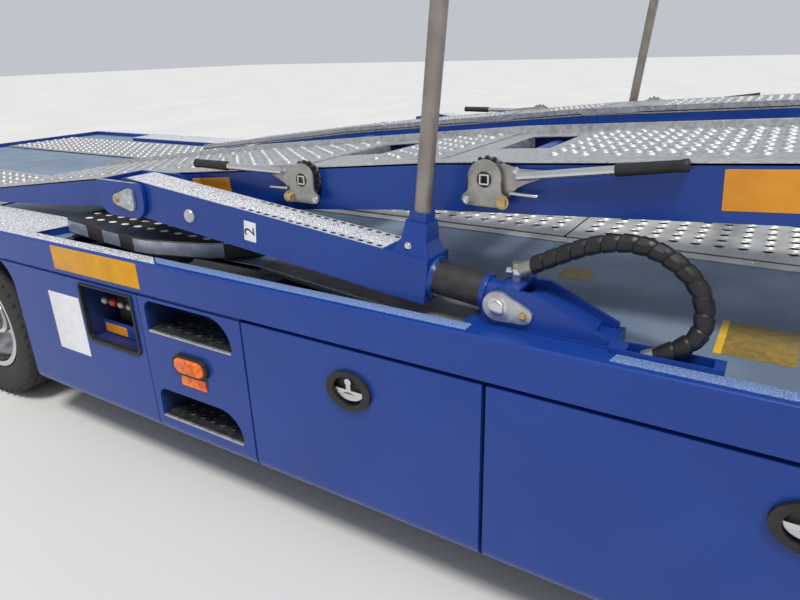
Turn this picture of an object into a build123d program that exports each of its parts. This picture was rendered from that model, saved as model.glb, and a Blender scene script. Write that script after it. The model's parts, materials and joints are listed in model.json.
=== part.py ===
from build123d import *
import os
from math import atan2, cos, degrees, hypot, pi, radians, sin, tan

os.makedirs("parts", exist_ok=True)

# Car transporter semi-trailer, in millimetres. +X is forward, +Z is up, -Y is the kerb side.
# Most pieces are drawn for the right side (-Y) and mirrored for the left.

# Overall size
HALF_WIDTH = 1275
REAR_X = -6100
FRONT_X = 6100
FIT = 0.3
RUNNING = 0.05

# Low deck and side sills
SILL_TOP = 890
SILL_HEIGHT = 120
SILL_WIDTH = 62
SILL_WALL = 8
SILL_NOTCH = 190
SILL_OVER_TYRE = 34
FENDER_X = (-5250, -2870)
FENDER_WIDTH = 275
FENDER_CHAMFER = 60
PLINTH_X = (-958, -592)
PLINTH_INNER = 215
DECK_CUT = ((-2780, 275), (-2030, 215), (-1800, 215), (-1167, 103), (-959, 103))
SILL_REAR = -6040
SILL_FRONT = 2450
DECK_TOP = 860
DECK_PLATE = 12
TRACK_INNER = 350
DECK_TRACK = 6
PANEL_HALF = 275
PANEL_SEAMS = (-3540, -2240, -995, 250, 1500, 2330)
PANEL_GAP = 8
REAR_TRACK_INSET = 40
TRACK_SETBACK = 60

# Main rails, with the step up to the neck
RAIL_Y = 480
RAIL_WIDTH = 120
RAIL_FLANGE = 14
RAIL_WEB = 12
RAIL_BOTTOM = 600
RAIL_TOP = DECK_TOP - DECK_PLATE
NECK_BOTTOM = 1150
NECK_TOP = 1420
STEP_REAR = 2460
STEP_FOOT = 2300
STEP_HEAD = 2980
STEP_RADIUS = 180
OUTRIGGER_DEPTH = 98
OUTRIGGER_WIDTH = 70
OUTRIGGERS = (-5915, -5300, -4105, -2900, -2620, -1705, -870, -160, 560, 1440, 2320)

# Neck deck
NECK_HALF = HALF_WIDTH - 35
NECK_SIDE = 70
NECK_SIDE_DEPTH = 180
NECK_DECK_TOP = 1480
NECK_PLATE = 8
NECK_CORNER = 260
NECK_BEAMS = (3100, 3900, 4700, 5500)
NECK_BEAM = 90
KINGPIN_X = 5200
KINGPIN_RADIUS = 25.4
KINGPIN_LENGTH = 46
KINGPIN_FOOT = 36
KINGPIN_FLANGE = 20
KNEE_REACH = 300
LUG_PLATE = 20
LUG_GAP = 6
COUPLER_LENGTH = 1300
COUPLER_WIDTH = 1080
COUPLER_PLATE = 12

# Skirts below the sills
SKIRT_OUT = HALF_WIDTH - 3
SKIRT_PLATE = 12
SKIRT_DEPTH = 122
SKIRT_BOTTOM = 195
SKIRT_TOP = SILL_TOP - SILL_HEIGHT
SKIRT_CURL = 60
SKIRT_SEAMS = (-2200, -1700, 550)
SEAM = 4
GROOVE = 12
GROOVE_DEPTH = 8
ARCH_RADIUS = 130
ARCH_GAP = 70

# Skirt fittings: window, steps and locker doors, as X ranges and Z ranges
WINDOW_X = (-2540, -2235)
WINDOW_Z = (517, 745)
WINDOW_RADIUS = 22
STEP_X = (-2168, -1752)
UPPER_STEP_Z = (628, 748)
LOWER_STEP_Z = (282, 402)
STEP_NOSE = 100
STEP_CORNER = 40
RECESS_WALL = 6
RECESS_DEPTH = 150
CABINET_DEPTH = 172
VALVE_X = (-2500, -2300)
VALVE_Z = (560, 660)
VALVE_DEPTH = 60
VALVE_LEVERS = 4
LEVER_REACH = 66
LEVER_RADIUS = 6
LEVER_KNOB = 14
DOOR_GAP = 12
DOOR_PLATE = 20
DOORS = (("rear", -1700, -870), ("front", -870, 550))
DOOR_HINGE_Y = SKIRT_OUT - 112
DOOR_HINGE_Z = 206
KNUCKLE_RADIUS = 10
KNUCKLE_LENGTH = 60
HINGE_PIN = 5
LATCH_Z = 632
LATCH_LENGTH = 150
LATCH_HEIGHT = 118
LATCH_PROUD = 8
LATCH_RIM = 12
LATCH_SINK = 12
LATCH_STEM = 14
LATCH_RISE = 32
LATCH_PADDLE = (50, 26)
LATCH_THUMB = (22, 10)
DOOR_EDGE = 8
HINGE_SHARE = 0.18
HINGE_NOTCH = 32
HINGE_LUG = 8
HINGE_LUG_HALF = 12
LUG_CLEAR = 6
LOCKER_INSET = 10
LOCKER_WALL = 6
LOCKER_TOP = RAIL_TOP - OUTRIGGER_DEPTH
LOCKER_BOTTOM = 236
LOCKER_FRONT = SKIRT_OUT - 32
LOCKER_BACK = RAIL_Y + 140

# Wheels and axles
AXLES = (("front", -3480), ("rear", -4730))
TYRE_RADIUS = 390
TYRE_WIDTH = 225
TYRE_OUTER = HALF_WIDTH - 17
TWIN_SPACING = 270
RIM_RADIUS = 232
RIM_WALL = 12
DISC_PLATE = 14
HAND_HOLES = 8
HAND_HOLE_RADIUS = 24
HAND_HOLE_CIRCLE = 168
HUB_RADIUS = 88
HUB_CAP_RADIUS = 72
SPINDLE_RADIUS = 38
AXLE_RADIUS = 64
AXLE_HALF = TYRE_OUTER - 538
DRUM_RADIUS = 165
DRUM_LENGTH = 120
RIM_FLANGE = 244
RIM_HALF = 84
RIM_LIP = 10
DISH_FLAT = 142
DISH_RISE = 56
HUB_INNER = TYRE_OUTER - 523
HUB_OUTER = TYRE_OUTER - 43
HUB_CAP = 34
SPINDLE_END = TYRE_OUTER - 98
BRAKE_FLANGE = 150
BRAKE_PLATE = 12

# Springs
SPRING_HALF = 470
SPRING_WIDTH = 76
SPRING_SEAT = 60
SPRING_CAMBER = 60
SEAT_PAD = 12
LEAF = 13
LEAVES = (190, 290, 385, 470)
HANGER_SET = 20
HANGER_FOOT = 520
HANGER_WIDTH = 110
HANGER_LENGTH = 130

# Landing legs
LEG_X = 3420
LEG_Y = RAIL_Y + 280
LEG_OUTER = 130
LEG_INNER = 104
LEG_SPLIT = 430
LEG_TOP = 1400
LEG_BRACE = 60
LEG_BRACE_Z = (700, 760)
GEAR_SIZE = 130
GEAR_DEPTH = 90
GEAR_Z = 900
CRANK_REACH = 120
CRANK_RADIUS = 10
CRANK_THROW = 260
SHOE_LENGTH = 260
SHOE_PLATE = 18

# Tilting platform: top line of its side beams, from the tail to the front hinge
PLATFORM_LINE = ((-3600, 968), (-2400, 1122), (-1150, 1245), (2440, 1466))
BEAM_OUTER = HALF_WIDTH - 255
BEAM_WIDTH = 60
BEAM_DEPTH = 130
BEAM_PLATE = 10
TAIL_DEPTH = 62
INNER_BEAM_WIDTH = 50
INNER_BEAM_DEPTH = 90
TRACK_PLATE = 8
TRACK_JOINT = 4
TILT_X = 2540
TILT_Z = 1392
TILT_PIN = 22
TILT_BOSS = 46
CROSS_TUBES = (-3080, -1450, -380, 700, 1780)
CROSS_TUBE = 54
INNER_START = -3150
TORQUE_RADIUS = 40
TORQUE_DROP = 12
TRACK_OUTER = BEAM_OUTER - BEAM_WIDTH
ROLLER_X = -988
ROLLER_RADIUS = 42
ROLLER_DROP = 56
WELLS = ((-1650, -1470), (-1072, -905))
WELL_INSET = (100, 395)
LIFT_CHEEK_X = (-2390, -2150)
LIFT_CHEEK_Z = (1018, 1141)
LIFT_CHEEK_PLATE = 12
LIFT_CHEEK_CORNER = 60
LIFT_CHEEK_NOSE = 32
LIFT_CHEEK_GAP = 5
EYE_BOSS = 34
EYE_SIDE_GAP = 5
EYE_KEEPER = ((-33, -11, 18), (37, 12, 20), (37, -24, 20))
EYE_KEEPER_PLATE = 8

# Lift arms: the cylinder is pinned on the sill and the box slides along it up to the platform
SILL_PIN_X = -870
SILL_PIN_Z = 945
EYE_X = -2250
EYE_Z = 1090
ARM_Y = HALF_WIDTH - 140
ARM_WIDTH = 118
ARM_DEPTH = 124
ARM_WALL = 7
ARM_START = 206
ARM_BOX_END = 1440
ARM_NOSE = 52
ARM_COLLAR = 14
EYE_HOLE = 35
COLLAR_GAP = 0.5
COLLAR_LIP = 4
EYE_HALF = 42
BARREL_RADIUS = 45
BARREL_LENGTH = 930
BARREL_START = 50
BARREL_EYE = 32
SILL_PIN = 20
EYE_PIN = 18
CHEEK_PLATE = 12
CHEEK_GAP = 96
BRACKET_X = (-915, -604)
BRACKET_TOP = 987
BRACKET_SLOPE = -780
BRACKET_NOSE = 908
BRACKET_ROUND = 52
COVER_START = -812
COVER_SINK = 20
COVER_PLATE = 8
KEEPER_HEAD = 37
KEEPER_TAIL = (67, -13, 21)
STRAP_X = (-866, -818)
STRAP_PLATE = 8
BASE_STRIP = 4
KEEPER_PLATE = 10
POST_OFFSET = 264
POST_RADIUS = 22
POST_LENGTH = 1150
SOCKET_HEIGHT = 108
SOCKET_COLLAR = 24
SOCKET_SIZE = 54
SOCKET_BASE = (108, 104)
SOCKET_WAIST = (78, 78)
SOCKET_HEAD = (66, 66)
SOCKET_WAIST_RISE = 36
SOCKET_CORNER = 8

# Strap ratchets on the platform's side beams: X, the way the handle points, how far the drum is below the
# beam's top, and the handle's height over the drum at its foot and at its grip
RATCHETS = ((-978, 1, 46, 21, 74), (-1584, -1, 41, 29, 30))
RATCHET_PLATE = ((0, 12, 48), (-48, -46, 16), (52, -44, 20))
RATCHET_SHEET = 8
RATCHET_DRUM = 40
RATCHET_HUB = 20
RATCHET_REACH = 46
RATCHET_FACE = 30
HANDLE_FOOT = 84
HANDLE_RADIUS = 11
HANDLE_LENGTH = 470
GRIP_RADIUS = 15
GRIP_LENGTH = 150
YOKE_REACH = 66
YOKE_FACE = (12, 20)

# Hose from the cylinder's port to its outlet box on the sill
HOSE_RADIUS = 18
HOSE_POINTS = (
    (-806, -ARM_Y, 1040), (-770, -ARM_Y, 1060), (-655, -ARM_Y - 1, 1118), (-545, -ARM_Y - 7, 1128),
    (-440, -ARM_Y - 25, 1070), (-410, -ARM_Y - 45, 985), (-436, -ARM_Y - 55, 928), (-500, -ARM_Y - 55, 893))
RUN_SHARE = 0.45
FERRULE = 34
FITTING_RADIUS = 13
OUTLET_END = 26
OUTLET_X = (-596, -362)
OUTLET_INWARD = 112
OUTLET_HEIGHT = 42
OUTLET_SLOT_X = (-560, -384)
OUTLET_SLOT_Y = (64, 107)
OUTLET_FLOOR = 2

# Loading ramps stored on the deck inside the sills
RAMP_PLAN = ((-2795, 152, 30), (-2560, 122, 400), (-2230, 88, 300), (-1900, 180, 200), (-1860, 300, 60),
             (-1900, 440, 60), (-2795, 440, 30))
RAMP_Z = (878, 935)
RAMP_WALL = 6
RAMP_RUNNERS = (420, 300)
RAMP_RUNNER_X = (-2760, -1940)
RAMP_RUNNER_WIDTH = 40

# Rear end
BUMPER_Z = (470, 590)
BUMPER_THICK = 58
HOOK_BAR_RADIUS = 14
REAR_PANEL_Z = (640, 890)
TAIL_LAMP_RADIUS = 54
TAIL_LAMPS = (HALF_WIDTH - 145, HALF_WIDTH - 290, HALF_WIDTH - 435)
HOOK_BAR_Z = 846
TAIL_LAMP_Z = 752
FLAP_X = -5290
FLAP_PLATE = 6
FLAP_BOTTOM = 250
MARKER_X = (-5700, -1960, 1600)
MARKER_Z = 538
MARKER_LENGTH = 150
MARKER_HEIGHT = 62
MARKER_PROUD = 12
REFLECTOR = (120, 40, 6)
REFLECTOR_Z = 474

arm_angle = degrees(atan2(EYE_Z - SILL_PIN_Z, SILL_PIN_X - EYE_X))
arm_length = hypot(EYE_Z - SILL_PIN_Z, SILL_PIN_X - EYE_X)


def save(part, name):
    """Label a finished piece and write it."""
    part.label = name
    export_step(part, f"parts/{name}.step")


def save_sides(right, name):
    """Write a right-hand piece and its mirror image."""
    save(right.part, f"{name}_right")
    with BuildPart() as left:
        mirror(right.part, about=Plane.XZ)
    save(left.part, f"{name}_left")


def block(x_range, y_range, z_range, mode=Mode.ADD):
    """A rectangular solid between three ranges."""
    middle = tuple((low + high) / 2 for low, high in (x_range, y_range, z_range))
    size = tuple(abs(high - low) for low, high in (x_range, y_range, z_range))
    with Locations(middle):
        Box(*size, mode=mode)


def side_plane(y):
    """A sketch plane of X and Z at the given Y, which faces -Y."""
    return Plane.XZ.offset(-y)


def both_sides(y):
    """The same distance on the right and on the left."""
    return (-y, y)


def face_on(plane, rows):
    """A closed face on a plane, from rows of two coordinates and, where rounded, a corner radius."""
    with BuildSketch(plane) as sketch:
        with BuildLine():
            FilletPolyline(*[row[:2] for row in rows], radius=[(*row, 0)[2] for row in rows], close=True)
        make_face()
    return sketch.sketch


def slab(rows, y_range, mode=Mode.ADD):
    """A side outline of X and Z rows, carried across a Y range."""
    low, high = sorted(y_range)
    extrude(face_on(side_plane(high), rows), amount=high - low, mode=mode)


def bar(rows, x_range, mode=Mode.ADD):
    """A cross-section of Y and Z rows, carried along an X range."""
    low, high = sorted(x_range)
    extrude(face_on(Plane.YZ.offset(low), rows), amount=high - low, mode=mode)


def plate(rows, z_range, mode=Mode.ADD):
    """A plan outline of X and Y rows, carried up a Z range."""
    low, high = sorted(z_range)
    extrude(face_on(Plane.XY.offset(low), rows), amount=high - low, mode=mode)


def corners(first_range, second_range, *radii):
    """The four corners of a rectangle, each with its own corner radius, low-low corner first."""
    (a, b), (c, d) = first_range, second_range
    radii = radii * 4 if len(radii) == 1 else radii or (0,) * 4
    return [(*point, radius) for point, radius in zip(((a, c), (a, d), (b, d), (b, c)), radii)]


def rod(start, end, radius, mode=Mode.ADD):
    """A round bar from one point to another."""
    run = Vector(*end) - Vector(*start)
    with BuildSketch(Plane(origin=start, z_dir=run)) as sketch:
        Circle(radius)
    extrude(sketch.sketch, amount=run.length, mode=mode)


def turned(rows, x, mode=Mode.ADD):
    """A ring turned about a wheel's axle from rows of Y and radius."""
    centre = (x, 0, TYRE_RADIUS)
    plane = Plane(origin=centre, x_dir=(0, 1, 0), z_dir=(1, 0, 0))
    revolve(face_on(plane, rows), axis=Axis(centre, (0, 1, 0)), mode=mode)


def line_height(line, x):
    """The height of a line of X and Z points at one X."""
    for (x0, z0), (x1, z1) in zip(line, line[1:]):
        if x <= x1:
            return z0 + (z1 - z0) * (x - x0) / (x1 - x0)
    return line[-1][1]


def along_arm(distance, rise=0.0):
    """X and Z of a place on the arm, from its sill pin towards its eye."""
    turn = radians(arm_angle)
    x = SILL_PIN_X - distance * cos(turn) + rise * sin(turn)
    z = SILL_PIN_Z + distance * sin(turn) + rise * cos(turn)
    return x, z


def beam_depth(x):
    """The depth of a platform side beam, which tapers into its tail."""
    tail, kink = PLATFORM_LINE[0][0], PLATFORM_LINE[1][0]
    share = min(max((x - tail) / (kink - tail), 0), 1)
    return TAIL_DEPTH + (BEAM_DEPTH - TAIL_DEPTH) * share


def platform_top(x):
    """The height of the platform's running surface at one X."""
    return line_height(PLATFORM_LINE, x)


# Main rails and their crossmembers
RAIL_REAR = REAR_X + 150
RAIL_FRONT = FRONT_X - NECK_SIDE
RAIL_ROWS = (
    (RAIL_REAR, RAIL_BOTTOM), (STEP_FOOT, RAIL_BOTTOM, STEP_RADIUS), (STEP_HEAD, NECK_BOTTOM, STEP_RADIUS),
    (RAIL_FRONT, NECK_BOTTOM), (RAIL_FRONT, NECK_TOP), (STEP_REAR, NECK_TOP), (STEP_REAR, RAIL_TOP),
    (RAIL_REAR, RAIL_TOP))
SILL_INNER = HALF_WIDTH - SILL_WIDTH
RAIL_INNER = RAIL_Y - RAIL_WIDTH / 2
RAIL_OUTER = RAIL_Y + RAIL_WIDTH / 2
with BuildPart() as main_rails:
    for y in both_sides(RAIL_Y):
        slab(RAIL_ROWS, (y - RAIL_WIDTH / 2, y + RAIL_WIDTH / 2))
        with BuildSketch(side_plane(y)) as web_pocket:
            add(face_on(Plane.XY, RAIL_ROWS))
            offset(amount=-RAIL_FLANGE, kind=Kind.INTERSECTION, mode=Mode.REPLACE)
        for low, high in ((RAIL_WEB / 2, RAIL_WIDTH), (-RAIL_WIDTH, -RAIL_WEB / 2)):
            pocket = extrude(web_pocket.sketch.moved(Location((0, -low, 0))), amount=high - low,
                             mode=Mode.PRIVATE)
            add(pocket, mode=Mode.SUBTRACT)
save(main_rails.part, "main_rails")

# Chassis cross members between the rails, and the outriggers from the rails to the sills
with BuildPart() as chassis_frame:
    for x in OUTRIGGERS:
        x_range = (x - OUTRIGGER_WIDTH / 2, x + OUTRIGGER_WIDTH / 2)
        z_range = (RAIL_TOP - OUTRIGGER_DEPTH, RAIL_TOP)
        block(x_range, both_sides(RAIL_INNER - RUNNING), z_range)
        for side in (-1, 1):
            block(x_range, (side * (RAIL_OUTER + RUNNING), side * SILL_INNER), z_range)
save(chassis_frame.part, "chassis_frame")


def inboard(rows):
    """Plan rows of X, distance in from the trailer's side and corner radius, as rows of X and Y."""
    return [(row[0], row[1] - HALF_WIDTH, *row[2:]) for row in rows]


# Side sills: closed box rails along the low deck, with the wheel covers and the arm brackets' plinths
with BuildPart() as sill:
    bar(corners((-HALF_WIDTH, -SILL_INNER), (SKIRT_TOP, SILL_TOP), 4, 8, 4, 4), (SILL_REAR, SILL_FRONT))
    bar(corners((SILL_WALL - HALF_WIDTH, -SILL_INNER - SILL_WALL),
                (SKIRT_TOP + SILL_WALL, SILL_TOP - SILL_WALL)),
        (SILL_REAR, SILL_FRONT), mode=Mode.SUBTRACT)
    for name, x in AXLES:
        block((x - SILL_NOTCH, x + SILL_NOTCH), (-HALF_WIDTH + SILL_WALL, -SILL_INNER),
              (SKIRT_TOP, TYRE_RADIUS * 2 + SILL_OVER_TYRE), mode=Mode.SUBTRACT)
    cover = ((FENDER_X[0], SILL_WIDTH - 2), (FENDER_X[0], FENDER_WIDTH, 40),
             (FENDER_X[1] + FENDER_CHAMFER, FENDER_WIDTH, 20), (FENDER_X[1], SILL_WIDTH - 2))
    plate(inboard(cover), (DECK_TOP, SILL_TOP))
    block(PLINTH_X, (-HALF_WIDTH + SILL_WIDTH - 2, -HALF_WIDTH + PLINTH_INNER), (DECK_TOP, SILL_TOP))
    block(OUTLET_X, (-HALF_WIDTH + SILL_WIDTH - 2, -HALF_WIDTH + OUTLET_INWARD),
          (DECK_TOP, DECK_TOP + OUTLET_HEIGHT))
    block(OUTLET_SLOT_X, [-HALF_WIDTH + inward for inward in OUTLET_SLOT_Y],
          (DECK_TOP + OUTLET_FLOOR, DECK_TOP + OUTLET_HEIGHT), mode=Mode.SUBTRACT)
with BuildPart() as side_sills:
    add(sill.part)
    mirror(sill.part, about=Plane.XZ)
save(side_sills.part, "side_sills")

# Low deck between the sills, cut back beside them over the step wells
cut_start, cut_end = DECK_CUT[0][0], DECK_CUT[-1][0]
with BuildPart() as low_deck:
    block((SILL_REAR, SILL_FRONT), both_sides(SILL_INNER), (RAIL_TOP, DECK_TOP))
    cut = ((cut_start, SILL_WIDTH), *DECK_CUT, (cut_end, SILL_WIDTH))
    for side in (-1, 1):
        plate([(x, side * (HALF_WIDTH - inward)) for x, inward in cut], (RAIL_TOP, DECK_TOP),
              mode=Mode.SUBTRACT)
save(low_deck.part, "low_deck")

# Wheel tracks behind the platform's tail and on the neck, and grip panels along the middle of the low deck
REAR_TRACK_X = (SILL_REAR + REAR_TRACK_INSET, PLATFORM_LINE[0][0] - TRACK_SETBACK)
NECK_TRACK_X = (TILT_X + TRACK_SETBACK, FRONT_X - NECK_SIDE - TRACK_SETBACK)
with BuildPart() as deck_tracks:
    for side in (-1, 1):
        y_range = (side * TRACK_INNER, side * TRACK_OUTER)
        block(REAR_TRACK_X, y_range, (DECK_TOP, DECK_TOP + DECK_TRACK))
        block(NECK_TRACK_X, y_range, (NECK_DECK_TOP - NECK_PLATE, NECK_DECK_TOP))
    for start, end in zip(PANEL_SEAMS, PANEL_SEAMS[1:]):
        block((start + PANEL_GAP / 2, end - PANEL_GAP / 2), both_sides(PANEL_HALF),
              (DECK_TOP, DECK_TOP + DECK_TRACK))
save(deck_tracks.part, "deck_tracks")

# Neck: rounded outer frame on the raised rails, with its cross beams, knees and hinge lugs
NECK_BASE = NECK_DECK_TOP - NECK_PLATE
NECK_INNER = NECK_HALF - NECK_SIDE
with BuildPart() as neck_frame:
    neck_z = (NECK_DECK_TOP - NECK_SIDE_DEPTH, NECK_DECK_TOP)
    plate(corners((STEP_REAR, FRONT_X), both_sides(NECK_HALF), 0, 0, NECK_CORNER, NECK_CORNER), neck_z)
    plate(corners((STEP_REAR - NECK_SIDE, FRONT_X - NECK_SIDE), both_sides(NECK_INNER), 0, 0,
                  NECK_CORNER - NECK_SIDE, NECK_CORNER - NECK_SIDE), neck_z, mode=Mode.SUBTRACT)
    for x in NECK_BEAMS:
        block((x - NECK_BEAM / 2, x + NECK_BEAM / 2), both_sides(NECK_INNER), (NECK_TOP, NECK_BASE))
    hinge_beam_x = (TILT_X + TILT_BOSS + 24, TILT_X + TILT_BOSS + 24 + NECK_BEAM)
    block(hinge_beam_x, both_sides(NECK_INNER), (NECK_TOP, NECK_BASE))
    for side in (-1, 1):
        block(hinge_beam_x, (side * RAIL_OUTER, side * NECK_INNER), (TILT_Z - TILT_BOSS, NECK_BASE))
        for inner in (BEAM_OUTER - BEAM_WIDTH - LUG_GAP - LUG_PLATE, BEAM_OUTER + LUG_GAP):
            slab(((hinge_beam_x[0], TILT_Z - TILT_BOSS), (hinge_beam_x[0], TILT_Z + TILT_BOSS),
                  (TILT_X - TILT_BOSS, TILT_Z + TILT_BOSS, TILT_BOSS - 2),
                  (TILT_X - TILT_BOSS, TILT_Z - TILT_BOSS, TILT_BOSS - 2)),
                 (side * inner, side * (inner + LUG_PLATE)))
        pin_y = (BEAM_OUTER - BEAM_WIDTH - LUG_GAP - LUG_PLATE - 8, BEAM_OUTER + LUG_GAP + LUG_PLATE + 8)
        rod((TILT_X, side * pin_y[0], TILT_Z), (TILT_X, side * pin_y[1], TILT_Z), TILT_PIN)
        slab(((STEP_REAR - 250, SILL_TOP), (SILL_FRONT, SILL_TOP), (STEP_REAR + KNEE_REACH, neck_z[0]),
              (STEP_REAR, neck_z[0]), (STEP_REAR, neck_z[0] - 60, 60)),
              (side * NECK_INNER, side * NECK_HALF))
save(neck_frame.part, "neck_frame")

# Coupler plate with the kingpin that drops into a tractor's fifth wheel
with BuildPart() as coupler_plate:
    coupler_x = (KINGPIN_X - COUPLER_LENGTH / 2, KINGPIN_X + COUPLER_LENGTH / 2)
    coupler_z = NECK_BOTTOM - COUPLER_PLATE
    plate(corners(coupler_x, both_sides(COUPLER_WIDTH / 2), 0, 0, 120, 120), (coupler_z, NECK_BOTTOM))
    pin_foot = coupler_z - KINGPIN_LENGTH
    rod((KINGPIN_X, 0, coupler_z), (KINGPIN_X, 0, pin_foot), KINGPIN_RADIUS)
    rod((KINGPIN_X, 0, pin_foot), (KINGPIN_X, 0, pin_foot - KINGPIN_FLANGE), KINGPIN_FOOT)
save(coupler_plate.part, "coupler_plate")

# Skirts: folded panels under the sills, cut for the wheels, the doors, the steps and the window
ARCH_X = (AXLES[1][1] - TYRE_RADIUS - ARCH_GAP, AXLES[0][1] + TYRE_RADIUS + ARCH_GAP)
SKIRT_FACE = SKIRT_OUT - SKIRT_PLATE
SKIRT_INNER = SKIRT_OUT - SKIRT_DEPTH
FLANGE_FRONT = SKIRT_OUT - DOOR_PLATE - DOOR_GAP
with BuildPart() as skirt:
    bar(corners((-SKIRT_OUT, -SKIRT_INNER), (SKIRT_BOTTOM, SKIRT_TOP), SKIRT_CURL, 0, 0, 0),
        (SILL_REAR, SILL_FRONT))
    bar(corners((-SKIRT_FACE, 0), (SKIRT_BOTTOM + SKIRT_PLATE, SKIRT_TOP - SKIRT_PLATE),
                SKIRT_CURL - SKIRT_PLATE, 0, 0, 0), (SILL_REAR, SILL_FRONT), mode=Mode.SUBTRACT)
    block((SILL_REAR, SILL_FRONT), (-SKIRT_OUT, -SKIRT_OUT + GROOVE_DEPTH), (SKIRT_TOP - GROOVE, SKIRT_TOP),
          mode=Mode.SUBTRACT)
    block((SILL_REAR, SILL_FRONT), (-SILL_INNER - 3, 0), (RAIL_TOP - OUTRIGGER_DEPTH - 1, SKIRT_TOP),
          mode=Mode.SUBTRACT)
    slab(corners(ARCH_X, (0, SKIRT_TOP), 0, ARCH_RADIUS, ARCH_RADIUS, 0), (-HALF_WIDTH, 0),
         mode=Mode.SUBTRACT)
    slab(corners(WINDOW_X, WINDOW_Z, WINDOW_RADIUS, 4, 4, WINDOW_RADIUS), (-HALF_WIDTH, -SKIRT_FACE + 1),
         mode=Mode.SUBTRACT)
    for step_z in (LOWER_STEP_Z, UPPER_STEP_Z):
        slab(corners(STEP_X, step_z, 4, STEP_CORNER, STEP_NOSE, 4), (-HALF_WIDTH, -SKIRT_FACE + 1),
             mode=Mode.SUBTRACT)
    for name, start, end in DOORS:
        block((start, end), (-HALF_WIDTH, -FLANGE_FRONT), (0, SKIRT_TOP), mode=Mode.SUBTRACT)
        block((start, end), (-HALF_WIDTH, 0), (0, SKIRT_TOP - SKIRT_PLATE), mode=Mode.SUBTRACT)
    bar(corners((-SKIRT_OUT, -RAIL_OUTER - 5), (SKIRT_BOTTOM, SILL_TOP), SKIRT_CURL, 0, 0, 40),
        (SILL_FRONT, SILL_FRONT + 8))
    bar(corners((-SKIRT_OUT, -SKIRT_INNER), (SKIRT_BOTTOM, SKIRT_TOP), SKIRT_CURL, 0, 0, 0),
        (SILL_REAR, SILL_REAR + SKIRT_PLATE))
    for x in SKIRT_SEAMS:
        block((x - SEAM / 2, x + SEAM / 2), (-HALF_WIDTH, 0), (0, SILL_TOP), mode=Mode.SUBTRACT)
save_sides(skirt, "skirt")


def tray(x_range, z_range, depth, wall):
    """A box with its open mouth against the back of the skirt."""
    grown = [(low - wall, high + wall) for low, high in (x_range, z_range)]
    block(grown[0], (-SKIRT_FACE, -SKIRT_FACE + depth), grown[1])
    block(x_range, (-SKIRT_OUT, -SKIRT_FACE + depth - wall), z_range, mode=Mode.SUBTRACT)


# Recesses behind the skirt: two step wells and the control cabinet
with BuildPart() as recess_boxes:
    tray(STEP_X, LOWER_STEP_Z, RECESS_DEPTH, RECESS_WALL)
    tray(STEP_X, UPPER_STEP_Z, RECESS_DEPTH, RECESS_WALL)
    tray(WINDOW_X, WINDOW_Z, CABINET_DEPTH, RECESS_WALL)
save_sides(recess_boxes, "recess_boxes")

# Control valves inside the cabinet: a valve bank with its levers
with BuildPart() as control_valves:
    for side in (-1, 1):
        back = side * (SKIRT_FACE - CABINET_DEPTH + RECESS_WALL)
        face = back + side * VALVE_DEPTH
        block(VALVE_X, (back, face), VALVE_Z)
        for count in range(VALVE_LEVERS):
            lever_x = VALVE_X[0] + (count + 0.5) * (VALVE_X[1] - VALVE_X[0]) / VALVE_LEVERS
            foot = (lever_x, face, VALVE_Z[1] - 30)
            tip = (lever_x, face + side * LEVER_REACH, VALVE_Z[1] + 10)
            rod(foot, tip, LEVER_RADIUS)
            with Locations(tip):
                Sphere(LEVER_KNOB)
save(control_valves.part, "control_valves")


def hinge_places(start, end):
    """The X places of a door's two hinges."""
    return (start + (end - start) * HINGE_SHARE, end - (end - start) * HINGE_SHARE)


# Lockers: hollow boxes behind the doors, hung from the outriggers, with the doors' hinge lugs
with BuildPart() as lockers:
    for name, start, end in DOORS:
        outer = (start + LOCKER_INSET, end - LOCKER_INSET)
        inner = (outer[0] + LOCKER_WALL, outer[1] - LOCKER_WALL)
        block(outer, (-LOCKER_FRONT, -LOCKER_BACK), (LOCKER_BOTTOM, LOCKER_TOP))
        block(inner, (-LOCKER_FRONT, -LOCKER_BACK - LOCKER_WALL),
              (LOCKER_BOTTOM + LOCKER_WALL, LOCKER_TOP - LOCKER_WALL), mode=Mode.SUBTRACT)
        for x in hinge_places(start, end):
            reach = KNUCKLE_LENGTH / 2 + LUG_CLEAR
            for side in (-1, 1):
                lug = sorted((x + side * reach, x + side * (reach + HINGE_LUG)))
                block(lug, (-DOOR_HINGE_Y - HINGE_LUG_HALF, -DOOR_HINGE_Y + HINGE_LUG_HALF),
                      (DOOR_HINGE_Z - KNUCKLE_RADIUS, LOCKER_BOTTOM))
            rod((x - reach - HINGE_LUG, -DOOR_HINGE_Y, DOOR_HINGE_Z),
                (x + reach + HINGE_LUG, -DOOR_HINGE_Y, DOOR_HINGE_Z), HINGE_PIN)
save_sides(lockers, "lockers")

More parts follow.
